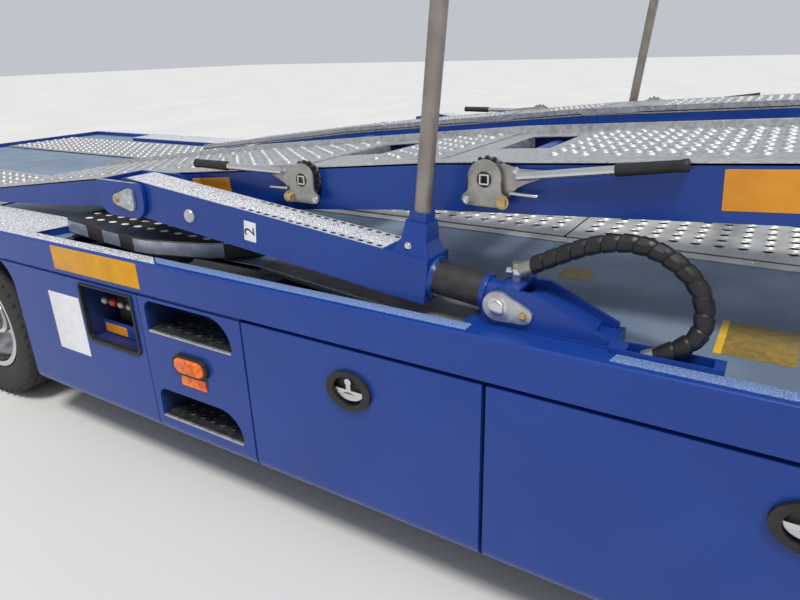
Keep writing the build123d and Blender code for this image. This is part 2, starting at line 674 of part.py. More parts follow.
# Locker doors: folded pans that drop about their lower edge, each with an oval latch
for name, start, end in DOORS:
    with BuildPart() as door:
        door_x = (start + DOOR_GAP / 2, end - DOOR_GAP / 2)
        door_top = SKIRT_TOP - GROOVE
        bar(corners((-SKIRT_OUT, -DOOR_HINGE_Y - DOOR_EDGE), (SKIRT_BOTTOM, door_top), SKIRT_CURL, 0, 0, 0),
            door_x)
        bar(corners((-SKIRT_OUT + DOOR_PLATE, 0), (SKIRT_BOTTOM + DOOR_PLATE, door_top + 1),
                    SKIRT_CURL - DOOR_PLATE, 0, 0, 0), door_x, mode=Mode.SUBTRACT)
        for x in hinge_places(start, end):
            notch = KNUCKLE_LENGTH / 2 + LUG_CLEAR + HINGE_LUG + LUG_CLEAR
            block((x - notch, x + notch), (-DOOR_HINGE_Y - HINGE_NOTCH, 0), (0, LOCKER_BOTTOM),
                  mode=Mode.SUBTRACT)
            tongue = (x - KNUCKLE_LENGTH / 2, x + KNUCKLE_LENGTH / 2)
            block(tongue, (-DOOR_HINGE_Y - HINGE_NOTCH, -DOOR_HINGE_Y),
                  (SKIRT_BOTTOM + 1, SKIRT_BOTTOM + DOOR_PLATE))
            rod((tongue[0], -DOOR_HINGE_Y, DOOR_HINGE_Z), (tongue[1], -DOOR_HINGE_Y, DOOR_HINGE_Z),
                KNUCKLE_RADIUS)
            rod((tongue[0], -DOOR_HINGE_Y, DOOR_HINGE_Z), (tongue[1], -DOOR_HINGE_Y, DOOR_HINGE_Z),
                HINGE_PIN + RUNNING, mode=Mode.SUBTRACT)
        with BuildSketch(Plane(origin=((start + end) / 2, -SKIRT_OUT, LATCH_Z), x_dir=(1, 0, 0),
                               z_dir=(0, -1, 0))) as latch_rim:
            Ellipse(LATCH_LENGTH / 2, LATCH_HEIGHT / 2)
            Ellipse(LATCH_LENGTH / 2 - LATCH_RIM, LATCH_HEIGHT / 2 - LATCH_RIM, mode=Mode.SUBTRACT)
        extrude(latch_rim.sketch, amount=LATCH_PROUD)
        with BuildSketch(Plane(origin=((start + end) / 2, -SKIRT_OUT, LATCH_Z), x_dir=(1, 0, 0),
                               z_dir=(0, 1, 0))) as latch_dish:
            Ellipse(LATCH_LENGTH / 2 - LATCH_RIM, LATCH_HEIGHT / 2 - LATCH_RIM)
        extrude(latch_dish.sketch, amount=LATCH_SINK, mode=Mode.SUBTRACT)
        with BuildSketch(Plane(origin=((start + end) / 2, -SKIRT_OUT + LATCH_SINK, LATCH_Z), x_dir=(1, 0, 0),
                               z_dir=(0, -1, 0))) as handle:
            Ellipse(*LATCH_PADDLE)
            with Locations((0, LATCH_PADDLE[1])):
                Rectangle(LATCH_PADDLE[0] * 2, LATCH_PADDLE[1] * 2, mode=Mode.SUBTRACT)
            with Locations((0, -LATCH_PADDLE[1] / 3)):
                Ellipse(*LATCH_THUMB, mode=Mode.SUBTRACT)
            with Locations((0, LATCH_RISE / 2)):
                Rectangle(LATCH_STEM, LATCH_RISE + 1)
        extrude(handle.sketch, amount=LATCH_SINK + LATCH_PROUD / 2)
    save_sides(door, f"locker_door_{name}")

# Axles: a tube with brake flanges and turned-down spindles
with BuildPart() as axles:
    for name, x in AXLES:
        turned(((-SPINDLE_END, 0), (-SPINDLE_END, SPINDLE_RADIUS), (-AXLE_HALF, SPINDLE_RADIUS),
                (-AXLE_HALF, BRAKE_FLANGE), (-AXLE_HALF + BRAKE_PLATE, BRAKE_FLANGE),
                (-AXLE_HALF + BRAKE_PLATE, AXLE_RADIUS), (AXLE_HALF - BRAKE_PLATE, AXLE_RADIUS),
                (AXLE_HALF - BRAKE_PLATE, BRAKE_FLANGE), (AXLE_HALF, BRAKE_FLANGE),
                (AXLE_HALF, SPINDLE_RADIUS), (SPINDLE_END, SPINDLE_RADIUS), (SPINDLE_END, 0)), x)
save(axles.part, "axles")


def leaf_face(x, half, foot):
    """One spring leaf seen from the side: two arcs a leaf's thickness apart."""
    rise = SPRING_CAMBER * (half / SPRING_HALF) ** 2
    with BuildSketch(Plane.XZ) as leaf:
        with BuildLine():
            low = ThreePointArc((x - half, foot + rise), (x, foot), (x + half, foot + rise))
            high = ThreePointArc((x - half, foot + rise + LEAF), (x, foot + LEAF),
                                 (x + half, foot + rise + LEAF))
            Line(low @ 0, high @ 0)
            Line(low @ 1, high @ 1)
        make_face()
    return leaf.sketch


# Suspension: leaf packs on the axles, hung between hangers under the rails
SPRING_FOOT = TYRE_RADIUS + AXLE_RADIUS + SEAT_PAD
HANGERS = (AXLES[1][1] - SPRING_HALF - HANGER_SET, (AXLES[0][1] + AXLES[1][1]) / 2,
           AXLES[0][1] + SPRING_HALF + HANGER_SET)
with BuildPart() as suspension:
    for y in both_sides(RAIL_Y):
        for name, x in AXLES:
            for count, half in enumerate(LEAVES):
                foot = SPRING_FOOT + count * LEAF
                extrude(leaf_face(x, half, foot).moved(Location((0, y, 0))), amount=SPRING_WIDTH / 2,
                        both=True)
            slab(corners((x - SPRING_SEAT, x + SPRING_SEAT), (TYRE_RADIUS + 20, SPRING_FOOT), 0),
                 (y - SPRING_WIDTH / 2, y + SPRING_WIDTH / 2))
            rod((x, y - HANGER_WIDTH, TYRE_RADIUS), (x, y + HANGER_WIDTH, TYRE_RADIUS), AXLE_RADIUS + FIT,
                mode=Mode.SUBTRACT)
        for x in HANGERS:
            slab(((x - HANGER_LENGTH / 2 - 40, RAIL_BOTTOM), (x - HANGER_LENGTH / 2, HANGER_FOOT, 30),
                  (x + HANGER_LENGTH / 2, HANGER_FOOT, 30), (x + HANGER_LENGTH / 2 + 40, RAIL_BOTTOM)),
                 (y - HANGER_WIDTH / 2, y + HANGER_WIDTH / 2))
save(suspension.part, "suspension")


def wheel_sides(side):
    """The middles of the outer and the inner wheel of a pair, on one side."""
    outer = TYRE_OUTER - TYRE_WIDTH / 2
    return (side * outer, side * (outer - TWIN_SPACING))


# Twin wheels: two tyres, and two dished rims bolted back to back on one hub
BEAD = RIM_HALF - RIM_LIP - FIT
TYRE_ROWS = ((-BEAD, RIM_RADIUS + FIT), (-BEAD, RIM_FLANGE + 3), (-TYRE_WIDTH / 2, 300), (-104, 362),
             (-80, TYRE_RADIUS), (80, TYRE_RADIUS), (104, 362), (TYRE_WIDTH / 2, 300),
             (BEAD, RIM_FLANGE + 3), (BEAD, RIM_RADIUS + FIT))
for name, x in AXLES:
    for side_name, side in (("right", -1), ("left", 1)):
        with BuildPart() as tyres:
            for middle in wheel_sides(side):
                turned([(middle + y, radius) for y, radius in TYRE_ROWS], x)
        save(tyres.part, f"tyres_{name}_{side_name}")
        outer, inner = wheel_sides(side)
        mate = (outer + inner) / 2
        with BuildPart() as wheels:
            for middle, away in ((outer, side), (inner, -side)):
                disc = mate + away * DISC_PLATE
                lip = middle + away * RIM_HALF
                back = middle - away * RIM_HALF
                turned(((lip, RIM_RADIUS - RIM_WALL), (lip, RIM_FLANGE), (lip - away * RIM_LIP, RIM_FLANGE),
                        (lip - away * RIM_LIP, RIM_RADIUS), (back + away * RIM_LIP, RIM_RADIUS),
                        (back + away * RIM_LIP, RIM_FLANGE), (back, RIM_FLANGE),
                        (back, RIM_RADIUS - RIM_WALL)), x)
                turned(((mate, SPINDLE_RADIUS + RUNNING), (disc, SPINDLE_RADIUS + RUNNING),
                        (disc, DISH_FLAT),
                        (disc + away * DISH_RISE, RIM_RADIUS - RIM_WALL + 1),
                        (disc + away * (DISH_RISE - DISC_PLATE), RIM_RADIUS - RIM_WALL + 1),
                        (mate, DISH_FLAT)), x)
            hub_in = side * HUB_INNER
            hub_out = side * HUB_OUTER
            turned(((hub_in, SPINDLE_RADIUS + RUNNING), (hub_in, DRUM_RADIUS),
                    (hub_in + side * DRUM_LENGTH, DRUM_RADIUS),
                    (hub_in + side * DRUM_LENGTH, HUB_RADIUS), (hub_out - side * HUB_CAP, HUB_RADIUS),
                    (hub_out - side * HUB_CAP, HUB_CAP_RADIUS), (hub_out, HUB_CAP_RADIUS), (hub_out, 0),
                    (side * (SPINDLE_END + 5), 0), (side * (SPINDLE_END + 5), SPINDLE_RADIUS + RUNNING)), x)
            for middle, away in ((outer, side), (inner, -side)):
                with BuildSketch(Plane(origin=(x, mate - away, TYRE_RADIUS), x_dir=(1, 0, 0),
                                       z_dir=(0, away, 0))) as holes:
                    with PolarLocations(HAND_HOLE_CIRCLE, HAND_HOLES):
                        Circle(HAND_HOLE_RADIUS)
                extrude(holes.sketch, amount=DISH_RISE + DISC_PLATE, mode=Mode.SUBTRACT)
        save(wheels.part, f"wheels_{name}_{side_name}")

# Landing legs: outer and inner tubes, feet, a brace and the winding gear
with BuildPart() as landing_legs:
    for side in (-1, 1):
        y = side * LEG_Y
        block((LEG_X - LEG_OUTER / 2, LEG_X + LEG_OUTER / 2), (y - LEG_OUTER / 2, y + LEG_OUTER / 2),
              (LEG_SPLIT, LEG_TOP))
        block((LEG_X - LEG_INNER / 2, LEG_X + LEG_INNER / 2), (y - LEG_INNER / 2, y + LEG_INNER / 2),
              (SHOE_PLATE, LEG_SPLIT))
        plate(corners((LEG_X - SHOE_LENGTH / 2, LEG_X + SHOE_LENGTH / 2),
                      (y - SHOE_LENGTH / 2, y + SHOE_LENGTH / 2), 20), (0, SHOE_PLATE))
        slab(((LEG_X - 200, NECK_TOP), (LEG_X + 200, NECK_TOP), (LEG_X + 60, NECK_BOTTOM - 120),
              (LEG_X - 60, NECK_BOTTOM - 120)), (side * RAIL_OUTER, side * (LEG_Y - LEG_OUTER / 2)))
    block((LEG_X - LEG_BRACE / 2, LEG_X + LEG_BRACE / 2), both_sides(LEG_Y), LEG_BRACE_Z)
    gear_y = (-LEG_Y - LEG_OUTER / 2 - GEAR_DEPTH, -LEG_Y - LEG_OUTER / 2)
    block((LEG_X - GEAR_SIZE / 2, LEG_X + GEAR_SIZE / 2), gear_y, (GEAR_Z, GEAR_Z + GEAR_SIZE))
    crank = (LEG_X, gear_y[0] - CRANK_REACH, GEAR_Z + GEAR_SIZE / 2)
    rod((LEG_X, gear_y[0], crank[2]), crank, CRANK_RADIUS)
    rod(crank, (crank[0], crank[1], crank[2] - CRANK_THROW), CRANK_RADIUS)
save(landing_legs.part, "landing_legs")

# Rear end: panel across the tail, bumper on its uprights and the bar that the ramps hook on
PANEL_X = (SILL_REAR - SKIRT_PLATE, SILL_REAR)
with BuildPart() as rear_bumper:
    bar(corners(both_sides(SKIRT_OUT), REAR_PANEL_Z, 40, 0, 0, 40), PANEL_X)
    bar(corners(both_sides(SKIRT_OUT - 60), BUMPER_Z, 24), (REAR_X, REAR_X + BUMPER_THICK))
    for y in both_sides(RAIL_Y):
        slab(((REAR_X + BUMPER_THICK, BUMPER_Z[0]), (REAR_X + BUMPER_THICK, BUMPER_Z[1]),
              (PANEL_X[1], REAR_PANEL_Z[0]),
              (PANEL_X[1], RAIL_TOP), (RAIL_REAR, RAIL_TOP), (RAIL_REAR, BUMPER_Z[0], 60)),
             (y - RAIL_WIDTH / 2, y + RAIL_WIDTH / 2))
    bar_x = REAR_X + HOOK_BAR_RADIUS
    rod((bar_x, -TRACK_OUTER, HOOK_BAR_Z), (bar_x, TRACK_OUTER, HOOK_BAR_Z), HOOK_BAR_RADIUS)
    for y in both_sides(TRACK_OUTER - 60) + both_sides(TRACK_INNER):
        slab(corners((bar_x, PANEL_X[0]), (HOOK_BAR_Z - HOOK_BAR_RADIUS, HOOK_BAR_Z + HOOK_BAR_RADIUS), 0),
             (y - 6, y + 6))
save(rear_bumper.part, "rear_bumper")

# Lamps: side markers and reflectors on the skirts, tail lamps on the rear panel
with BuildPart() as lamps:
    for side in (-1, 1):
        for x in MARKER_X:
            with BuildSketch(Plane(origin=(x, side * SKIRT_OUT, MARKER_Z), x_dir=(1, 0, 0),
                                   z_dir=(0, side, 0))) as lens:
                SlotOverall(MARKER_LENGTH, MARKER_HEIGHT)
            extrude(lens.sketch, amount=MARKER_PROUD)
            block((x - REFLECTOR[0] / 2, x + REFLECTOR[0] / 2),
                  (side * SKIRT_OUT, side * (SKIRT_OUT + REFLECTOR[2])),
                  (REFLECTOR_Z - REFLECTOR[1] / 2, REFLECTOR_Z + REFLECTOR[1] / 2))
        for y in TAIL_LAMPS:
            rod((PANEL_X[0], side * y, TAIL_LAMP_Z), (PANEL_X[0] - MARKER_PROUD, side * y, TAIL_LAMP_Z),
                TAIL_LAMP_RADIUS)
save(lamps.part, "lamps")

# Mud flaps behind the rear wheels
with BuildPart() as mud_flaps:
    for side in (-1, 1):
        outer, inner = wheel_sides(side)
        plate_y = (inner - side * TYRE_WIDTH / 2, outer + side * TYRE_WIDTH / 2)
        bar([(y, z, 30 if z == FLAP_BOTTOM else 0) for y, z in
             ((plate_y[0], FLAP_BOTTOM), (plate_y[0], LOCKER_TOP), (plate_y[1], LOCKER_TOP),
              (plate_y[1], FLAP_BOTTOM))],
            (FLAP_X, FLAP_X + FLAP_PLATE))
save(mud_flaps.part, "mud_flaps")


def beam_rows(depth_cut=0.0, top_cut=0.0, start=None, end=None):
    """A platform beam's side outline between two X places, under the running surface."""
    places = [start] + [x for x, z in PLATFORM_LINE if start < x < end] + [end]
    top = [(x, platform_top(x) - top_cut) for x in places]
    bottom = [(x, platform_top(x) - beam_depth(x) + depth_cut) for x in reversed(places)]
    return top + bottom


# Platform side beams: channels that open inwards, with a hinge eye at the front and the lift boss
BEAM_FRONT = PLATFORM_LINE[-1][0]
BEAM_INNER = BEAM_OUTER - BEAM_WIDTH
with BuildPart() as side_beam:
    rows = beam_rows(0, 0, PLATFORM_LINE[0][0], BEAM_FRONT)
    count = len(PLATFORM_LINE)
    nose = [(TILT_X + TILT_BOSS, TILT_Z + TILT_BOSS, TILT_BOSS - 2),
            (TILT_X + TILT_BOSS, TILT_Z - TILT_BOSS, TILT_BOSS - 2)]
    slab(rows[:count] + nose + rows[count:], (-BEAM_OUTER, -BEAM_INNER))
    slab(beam_rows(BEAM_PLATE, BEAM_PLATE, PLATFORM_LINE[0][0] + 60, BEAM_FRONT - 60),
         (-BEAM_OUTER + BEAM_PLATE, -BEAM_INNER), mode=Mode.SUBTRACT)
    rod((TILT_X, -BEAM_OUTER, TILT_Z), (TILT_X, -BEAM_INNER, TILT_Z), TILT_PIN + RUNNING, mode=Mode.SUBTRACT)
    cheek_face = -ARM_Y - ARM_WIDTH / 2 - LIFT_CHEEK_GAP - LIFT_CHEEK_PLATE
    cheek = corners(LIFT_CHEEK_X, LIFT_CHEEK_Z, LIFT_CHEEK_CORNER, 0, LIFT_CHEEK_NOSE, LIFT_CHEEK_CORNER)
    slab(cheek, (cheek_face, cheek_face + LIFT_CHEEK_PLATE))
    slab(cheek, (-BEAM_OUTER - LIFT_CHEEK_PLATE, -BEAM_OUTER))
    block((LIFT_CHEEK_X[0], LIFT_CHEEK_X[0] + LIFT_CHEEK_PLATE), (cheek_face, -BEAM_OUTER),
          (LIFT_CHEEK_Z[0] + LIFT_CHEEK_CORNER, LIFT_CHEEK_Z[1]))
    rod((EYE_X, -BEAM_OUTER - 1, EYE_Z), (EYE_X, -ARM_Y + ARM_WIDTH / 2 + EYE_SIDE_GAP, EYE_Z), EYE_BOSS)
    rod((EYE_X, cheek_face, EYE_Z), (EYE_X, -BEAM_OUTER - 1, EYE_Z), EYE_PIN)
    with BuildSketch(Plane(origin=(EYE_X, cheek_face, EYE_Z), x_dir=(1, 0, 0),
                           z_dir=(0, -1, 0))) as eye_keeper:
        for u, v, radius in EYE_KEEPER:
            with Locations((u, v)):
                Circle(radius)
        make_hull()
    extrude(eye_keeper.sketch, amount=EYE_KEEPER_PLATE)
with BuildPart() as platform_beams:
    add(side_beam.part)
    mirror(side_beam.part, about=Plane.XZ)
save(platform_beams.part, "platform_beams")

# Platform frame: inner beams, cross tubes, the lift torque tube and the rollers in the wheel wells
with BuildPart() as platform_frame:
    web = BEAM_OUTER - BEAM_PLATE
    spans = [both_sides(TRACK_INNER - RUNNING)]
    spans += [(side * (TRACK_INNER + INNER_BEAM_WIDTH + RUNNING), side * web) for side in (-1, 1)]
    for side in (-1, 1):
        slab(beam_rows(BEAM_DEPTH - INNER_BEAM_DEPTH, TRACK_PLATE, INNER_START, BEAM_FRONT - 40),
             (side * TRACK_INNER, side * (TRACK_INNER + INNER_BEAM_WIDTH)))
    for start, end in spans[1:]:
        roller_z = platform_top(ROLLER_X) - ROLLER_DROP
        rod((ROLLER_X, start, roller_z), (ROLLER_X, end, roller_z), ROLLER_RADIUS)
    for start, end in spans:
        for x in CROSS_TUBES:
            middle = platform_top(x) - beam_depth(x) / 2
            block((x - CROSS_TUBE / 2, x + CROSS_TUBE / 2), (start, end),
                  (middle - CROSS_TUBE / 2, middle + CROSS_TUBE / 2))
        rod((EYE_X, start, EYE_Z - TORQUE_DROP), (EYE_X, end, EYE_Z - TORQUE_DROP), TORQUE_RADIUS)
save(platform_frame.part, "platform_frame")

# Platform wheel tracks: jointed plates each side of the open centre, left open at the wheel wells
with BuildPart() as platform_tracks:
    edges = sorted([x for x, z in PLATFORM_LINE] + [x for well in WELLS for x in well])
    for low_x, high_x in zip(edges, edges[1:]):
        ends = (low_x + TRACK_JOINT / 2, high_x - TRACK_JOINT / 2)
        rows = [(x, platform_top(x)) for x in ends] + [(x, platform_top(x) - TRACK_PLATE) for x in reversed(ends)]
        widths = [(TRACK_INNER, BEAM_INNER)]
        if (low_x, high_x) in WELLS:
            widths = [(TRACK_INNER, TRACK_INNER + WELL_INSET[0]), (TRACK_INNER + WELL_INSET[1], BEAM_INNER)]
        for near, far in widths:
            for side in (-1, 1):
                slab(rows, (side * near, side * far))
save(platform_tracks.part, "platform_tracks")

# Strap ratchets on the platform's side beams: drum, side plates and a handle with its grip
with BuildPart() as ratchet:
    for x, way, drop, foot_rise, grip_rise in RATCHETS:
        z = platform_top(x) - drop
        for face in (-BEAM_OUTER, -BEAM_OUTER - RATCHET_FACE):
            with BuildSketch(Plane(origin=(x, face, z), x_dir=(1, 0, 0), z_dir=(0, -1, 0))) as side_plate:
                for u, v, radius in RATCHET_PLATE:
                    with Locations((way * u, v)):
                        Circle(radius)
                make_hull()
            extrude(side_plate.sketch, amount=RATCHET_SHEET)
        rod((x, -BEAM_OUTER, z), (x, -BEAM_OUTER - RATCHET_FACE - 1, z), RATCHET_DRUM)
        rod((x, -BEAM_OUTER, z), (x, -BEAM_OUTER - RATCHET_REACH, z), RATCHET_HUB)
        handle_y = -BEAM_OUTER - RATCHET_FACE + HANDLE_RADIUS / 2
        lift = (grip_rise - foot_rise) / (HANDLE_LENGTH - HANDLE_FOOT)
        places = [(x + way * reach, handle_y, z + foot_rise + lift * (reach - HANDLE_FOOT))
                  for reach in (HANDLE_FOOT, HANDLE_LENGTH - GRIP_LENGTH, HANDLE_LENGTH)]
        rod(places[0], places[2], HANDLE_RADIUS)
        rod(places[1], places[2], GRIP_RADIUS)
        yoke_end = HANDLE_FOOT + YOKE_REACH
        yoke_rows = ((0, 40), (HANDLE_FOOT, foot_rise + 16), (yoke_end, foot_rise + lift * YOKE_REACH + 8),
                     (yoke_end, foot_rise + lift * YOKE_REACH - 6), (60, -30, 12), (0, -20))
        slab([(x + way * row[0], z + row[1], *row[2:]) for row in yoke_rows],
             [-BEAM_OUTER - face for face in YOKE_FACE])
with BuildPart() as strap_ratchets:
    add(ratchet.part)
    mirror(ratchet.part, about=Plane.XZ)
save(strap_ratchets.part, "strap_ratchets")

# Lift arm: a box that slides along the cylinder, with its collar and the socket of the guide post
HALF_DEPTH = ARM_DEPTH / 2
HALF_ARM = ARM_WIDTH / 2
POST_UP = Vector(sin(radians(arm_angle)), 0, cos(radians(arm_angle)))
POST_ALONG = Vector(cos(radians(arm_angle)), 0, -sin(radians(arm_angle)))
POST_FOOT = Vector(along_arm(POST_OFFSET, HALF_DEPTH)[0], -ARM_Y, along_arm(POST_OFFSET, HALF_DEPTH)[1])
with BuildPart() as lift_arm:
    slab((along_arm(ARM_START, -HALF_DEPTH), along_arm(ARM_BOX_END, -HALF_DEPTH) + (ARM_NOSE,),
          along_arm(ARM_BOX_END, HALF_DEPTH) + (ARM_NOSE,), along_arm(ARM_START, HALF_DEPTH)),
         (-ARM_Y - HALF_ARM, -ARM_Y + HALF_ARM))
    inner = HALF_DEPTH - ARM_WALL
    hollow_end = ARM_BOX_END - ARM_WALL
    slab((along_arm(ARM_START + ARM_COLLAR, -inner), along_arm(hollow_end, -inner) + (ARM_NOSE - ARM_WALL,),
          along_arm(hollow_end, inner) + (ARM_NOSE - ARM_WALL,), along_arm(ARM_START + ARM_COLLAR, inner)),
         (-ARM_Y - HALF_ARM + ARM_WALL, -ARM_Y + HALF_ARM - ARM_WALL), mode=Mode.SUBTRACT)
    rod((EYE_X, -ARM_Y - HALF_ARM - 1, EYE_Z), (EYE_X, -ARM_Y + HALF_ARM + 1, EYE_Z), EYE_HOLE,
        mode=Mode.SUBTRACT)
    lip = [(along_arm(ARM_START + place)[0], -ARM_Y, along_arm(ARM_START + place)[1])
           for place in (-COLLAR_LIP, 1, ARM_COLLAR + 5)]
    rod(lip[0], lip[1], HALF_ARM - COLLAR_LIP)
    rod((lip[0][0] + 5, lip[0][1], lip[0][2]), lip[2], BARREL_RADIUS + COLLAR_GAP, mode=Mode.SUBTRACT)
    socket_levels = ((-2, SOCKET_BASE), (SOCKET_WAIST_RISE, SOCKET_WAIST),
                     (SOCKET_HEIGHT - SOCKET_COLLAR, SOCKET_HEAD))
    for (low, foot), (high, head) in zip(socket_levels, socket_levels[1:]):
        with BuildSketch(Plane(origin=POST_FOOT + POST_UP * low, x_dir=POST_ALONG, z_dir=POST_UP)) as lower:
            RectangleRounded(*foot, SOCKET_CORNER)
        with BuildSketch(Plane(origin=POST_FOOT + POST_UP * high, x_dir=POST_ALONG, z_dir=POST_UP)) as upper:
            RectangleRounded(*head, SOCKET_CORNER)
        loft(sections=[lower.sketch, upper.sketch])
    with BuildSketch(Plane(origin=POST_FOOT, x_dir=POST_ALONG, z_dir=POST_UP)) as collar:
        RectangleRounded(SOCKET_SIZE, SOCKET_SIZE, SOCKET_CORNER)
    extrude(collar.sketch, amount=SOCKET_HEIGHT)
    rod(tuple(POST_FOOT), tuple(POST_FOOT + POST_UP * (SOCKET_HEIGHT + 5)), POST_RADIUS + RUNNING,
        mode=Mode.SUBTRACT)
save_sides(lift_arm, "lift_arm")

# Guide post: a plain tube that stands in the arm's socket, closed by a cap
with BuildPart() as guide_post:
    rod(tuple(POST_FOOT), tuple(POST_FOOT + POST_UP * POST_LENGTH), POST_RADIUS)
save_sides(guide_post, "guide_post")

# Lift cylinder: barrel with its eye block on the sill pin
with BuildPart() as lift_cylinder:
    start = (along_arm(BARREL_START)[0], -ARM_Y, along_arm(BARREL_START)[1])
    end = (along_arm(BARREL_LENGTH)[0], -ARM_Y, along_arm(BARREL_LENGTH)[1])
    rod(start, end, BARREL_RADIUS)
    rod((SILL_PIN_X, -ARM_Y, SILL_PIN_Z), start, BARREL_RADIUS - 7)
    rod((SILL_PIN_X, -ARM_Y - EYE_HALF, SILL_PIN_Z), (SILL_PIN_X, -ARM_Y + EYE_HALF, SILL_PIN_Z),
        BARREL_EYE + 4)
    rod((SILL_PIN_X, -ARM_Y - EYE_HALF - 1, SILL_PIN_Z), (SILL_PIN_X, -ARM_Y + EYE_HALF + 1, SILL_PIN_Z),
        SILL_PIN + RUNNING, mode=Mode.SUBTRACT)
save_sides(lift_cylinder, "lift_cylinder")

# Arm brackets: clevis cheeks on the sills, with the sill pins and the sloping cover plates
CHEEK_INNER = CHEEK_GAP / 2
CHEEK_OUTER = CHEEK_INNER + CHEEK_PLATE
BASE_TOP = SILL_TOP + BASE_STRIP
with BuildPart() as arm_bracket:
    block((BRACKET_X[0] - 12, BRACKET_X[1] + 6), (-ARM_Y - CHEEK_OUTER - 6, -ARM_Y + CHEEK_OUTER + 6),
          (SILL_TOP, BASE_TOP))
    cheek = ((BRACKET_X[0], BASE_TOP), (BRACKET_X[0], BRACKET_TOP, BRACKET_ROUND),
             (BRACKET_SLOPE, BRACKET_TOP),
             (BRACKET_X[1], BRACKET_NOSE), (BRACKET_X[1], BASE_TOP))
    for low in (-ARM_Y - CHEEK_OUTER, -ARM_Y + CHEEK_INNER):
        slab(cheek, (low, low + CHEEK_PLATE))
    slope_line = ((BRACKET_SLOPE, BRACKET_TOP), (BRACKET_X[1], BRACKET_NOSE))
    cover_end = BRACKET_X[1] - COVER_SINK * 2
    cover = ((COVER_START, BRACKET_TOP - COVER_SINK), (BRACKET_SLOPE, BRACKET_TOP - COVER_SINK),
             (cover_end, line_height(slope_line, cover_end) - COVER_SINK))
    slab(cover + tuple((x, z - COVER_PLATE) for x, z in reversed(cover)),
         (-ARM_Y - CHEEK_OUTER + 1, -ARM_Y + CHEEK_OUTER - 1))
    block(STRAP_X, (-ARM_Y - CHEEK_OUTER, -ARM_Y + CHEEK_OUTER), (BRACKET_TOP, BRACKET_TOP + STRAP_PLATE))
    rod((SILL_PIN_X, -ARM_Y - CHEEK_OUTER - KEEPER_PLATE, SILL_PIN_Z),
        (SILL_PIN_X, -ARM_Y + CHEEK_OUTER + 2, SILL_PIN_Z), SILL_PIN)
    with BuildSketch(Plane(origin=(SILL_PIN_X, -ARM_Y - CHEEK_OUTER, SILL_PIN_Z), x_dir=(1, 0, 0),
                           z_dir=(0, -1, 0))) as keeper:
        Circle(KEEPER_HEAD)
        with Locations(KEEPER_TAIL[:2]):
            Circle(KEEPER_TAIL[2])
        make_hull()
    extrude(keeper.sketch, amount=KEEPER_PLATE)
with BuildPart() as arm_brackets:
    add(arm_bracket.part)
    mirror(arm_bracket.part, about=Plane.XZ)
save(arm_brackets.part, "arm_brackets")

# Hose ports: the elbow on the bracket's strap and the ferrule in the sill's outlet
HOSE_START = Vector(*HOSE_POINTS[0])
HOSE_END = Vector(*HOSE_POINTS[-1])
start_way = (Vector(*HOSE_POINTS[1]) - HOSE_START).normalized()
end_way = (HOSE_END - Vector(*HOSE_POINTS[-2])).normalized()
with BuildPart() as hose_port:
    ferrule_foot = HOSE_START - start_way * FERRULE
    port = (ferrule_foot.X - FITTING_RADIUS, ferrule_foot.Y, ferrule_foot.Z)
    rod(tuple(ferrule_foot), tuple(HOSE_START), HOSE_RADIUS + 2)
    rod(port, tuple(ferrule_foot + start_way * 4), FITTING_RADIUS)
    rod((port[0], port[1], BRACKET_TOP + STRAP_PLATE), (port[0], port[1], port[2] + FITTING_RADIUS + 4),
        FITTING_RADIUS)
    rod(tuple(HOSE_END), tuple(HOSE_END + end_way * OUTLET_END), HOSE_RADIUS + 1)
with BuildPart() as hose_ports:
    add(hose_port.part)
    mirror(hose_port.part, about=Plane.XZ)
save(hose_ports.part, "hose_ports")

# Hoses: straight runs joined by tangent arcs
turn_radii = []
for before, corner, after in zip(HOSE_POINTS, HOSE_POINTS[1:], HOSE_POINTS[2:]):
    run_in = Vector(*corner) - Vector(*before)
    run_out = Vector(*after) - Vector(*corner)
    half_turn = radians(run_in.get_angle(run_out)) / 2
    turn_radii.append(RUN_SHARE * min(run_in.length, run_out.length) / tan(half_turn))
print("hose radii", [round(radius) for radius in turn_radii])
with BuildPart() as hose:
    with BuildLine() as route:
        FilletPolyline(*HOSE_POINTS, radius=turn_radii)
    with BuildSketch(Plane(origin=HOSE_START, z_dir=start_way)) as hose_section:
        Circle(HOSE_RADIUS)
    sweep(hose_section.sketch, path=route.wires()[0])
print("hose length", round(route.wires()[0].length), "volume ratio",
      round(hose.part.volume / (pi * HOSE_RADIUS ** 2 * route.wires()[0].length), 4))
save_sides(hose, "hose")

# Loading ramps stored on the deck: pressed pans with a bowed outer edge, on runners
with BuildPart() as stored_ramp:
    pan = face_on(Plane.XY.offset(RAMP_Z[0]), inboard(RAMP_PLAN))
    extrude(pan, amount=RAMP_Z[1] - RAMP_Z[0])
    with BuildSketch(Plane.XY.offset(RAMP_Z[0])) as hollow:
        add(face_on(Plane.XY, inboard(RAMP_PLAN)))
        offset(amount=-RAMP_WALL, mode=Mode.REPLACE)
    extrude(hollow.sketch, amount=RAMP_Z[1] - RAMP_Z[0] - RAMP_WALL, mode=Mode.SUBTRACT)
    for inward in RAMP_RUNNERS:
        y_low = inward - HALF_WIDTH
        block(RAMP_RUNNER_X, (y_low - RAMP_RUNNER_WIDTH, y_low), (DECK_TOP, RAMP_Z[1] - RAMP_WALL + 1))
with BuildPart() as stored_ramps:
    add(stored_ramp.part)
    mirror(stored_ramp.part, about=Plane.XZ)
save(stored_ramps.part, "stored_ramps")
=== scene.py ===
"""Dresses a car transporter semi-trailer: paint, decks, tyres, lift arms, hoses and small fittings."""

import json
import logging
import math
from collections.abc import Callable, Iterable, Sequence
from dataclasses import dataclass
from enum import Enum

import bpy
from mathutils import Matrix, Vector

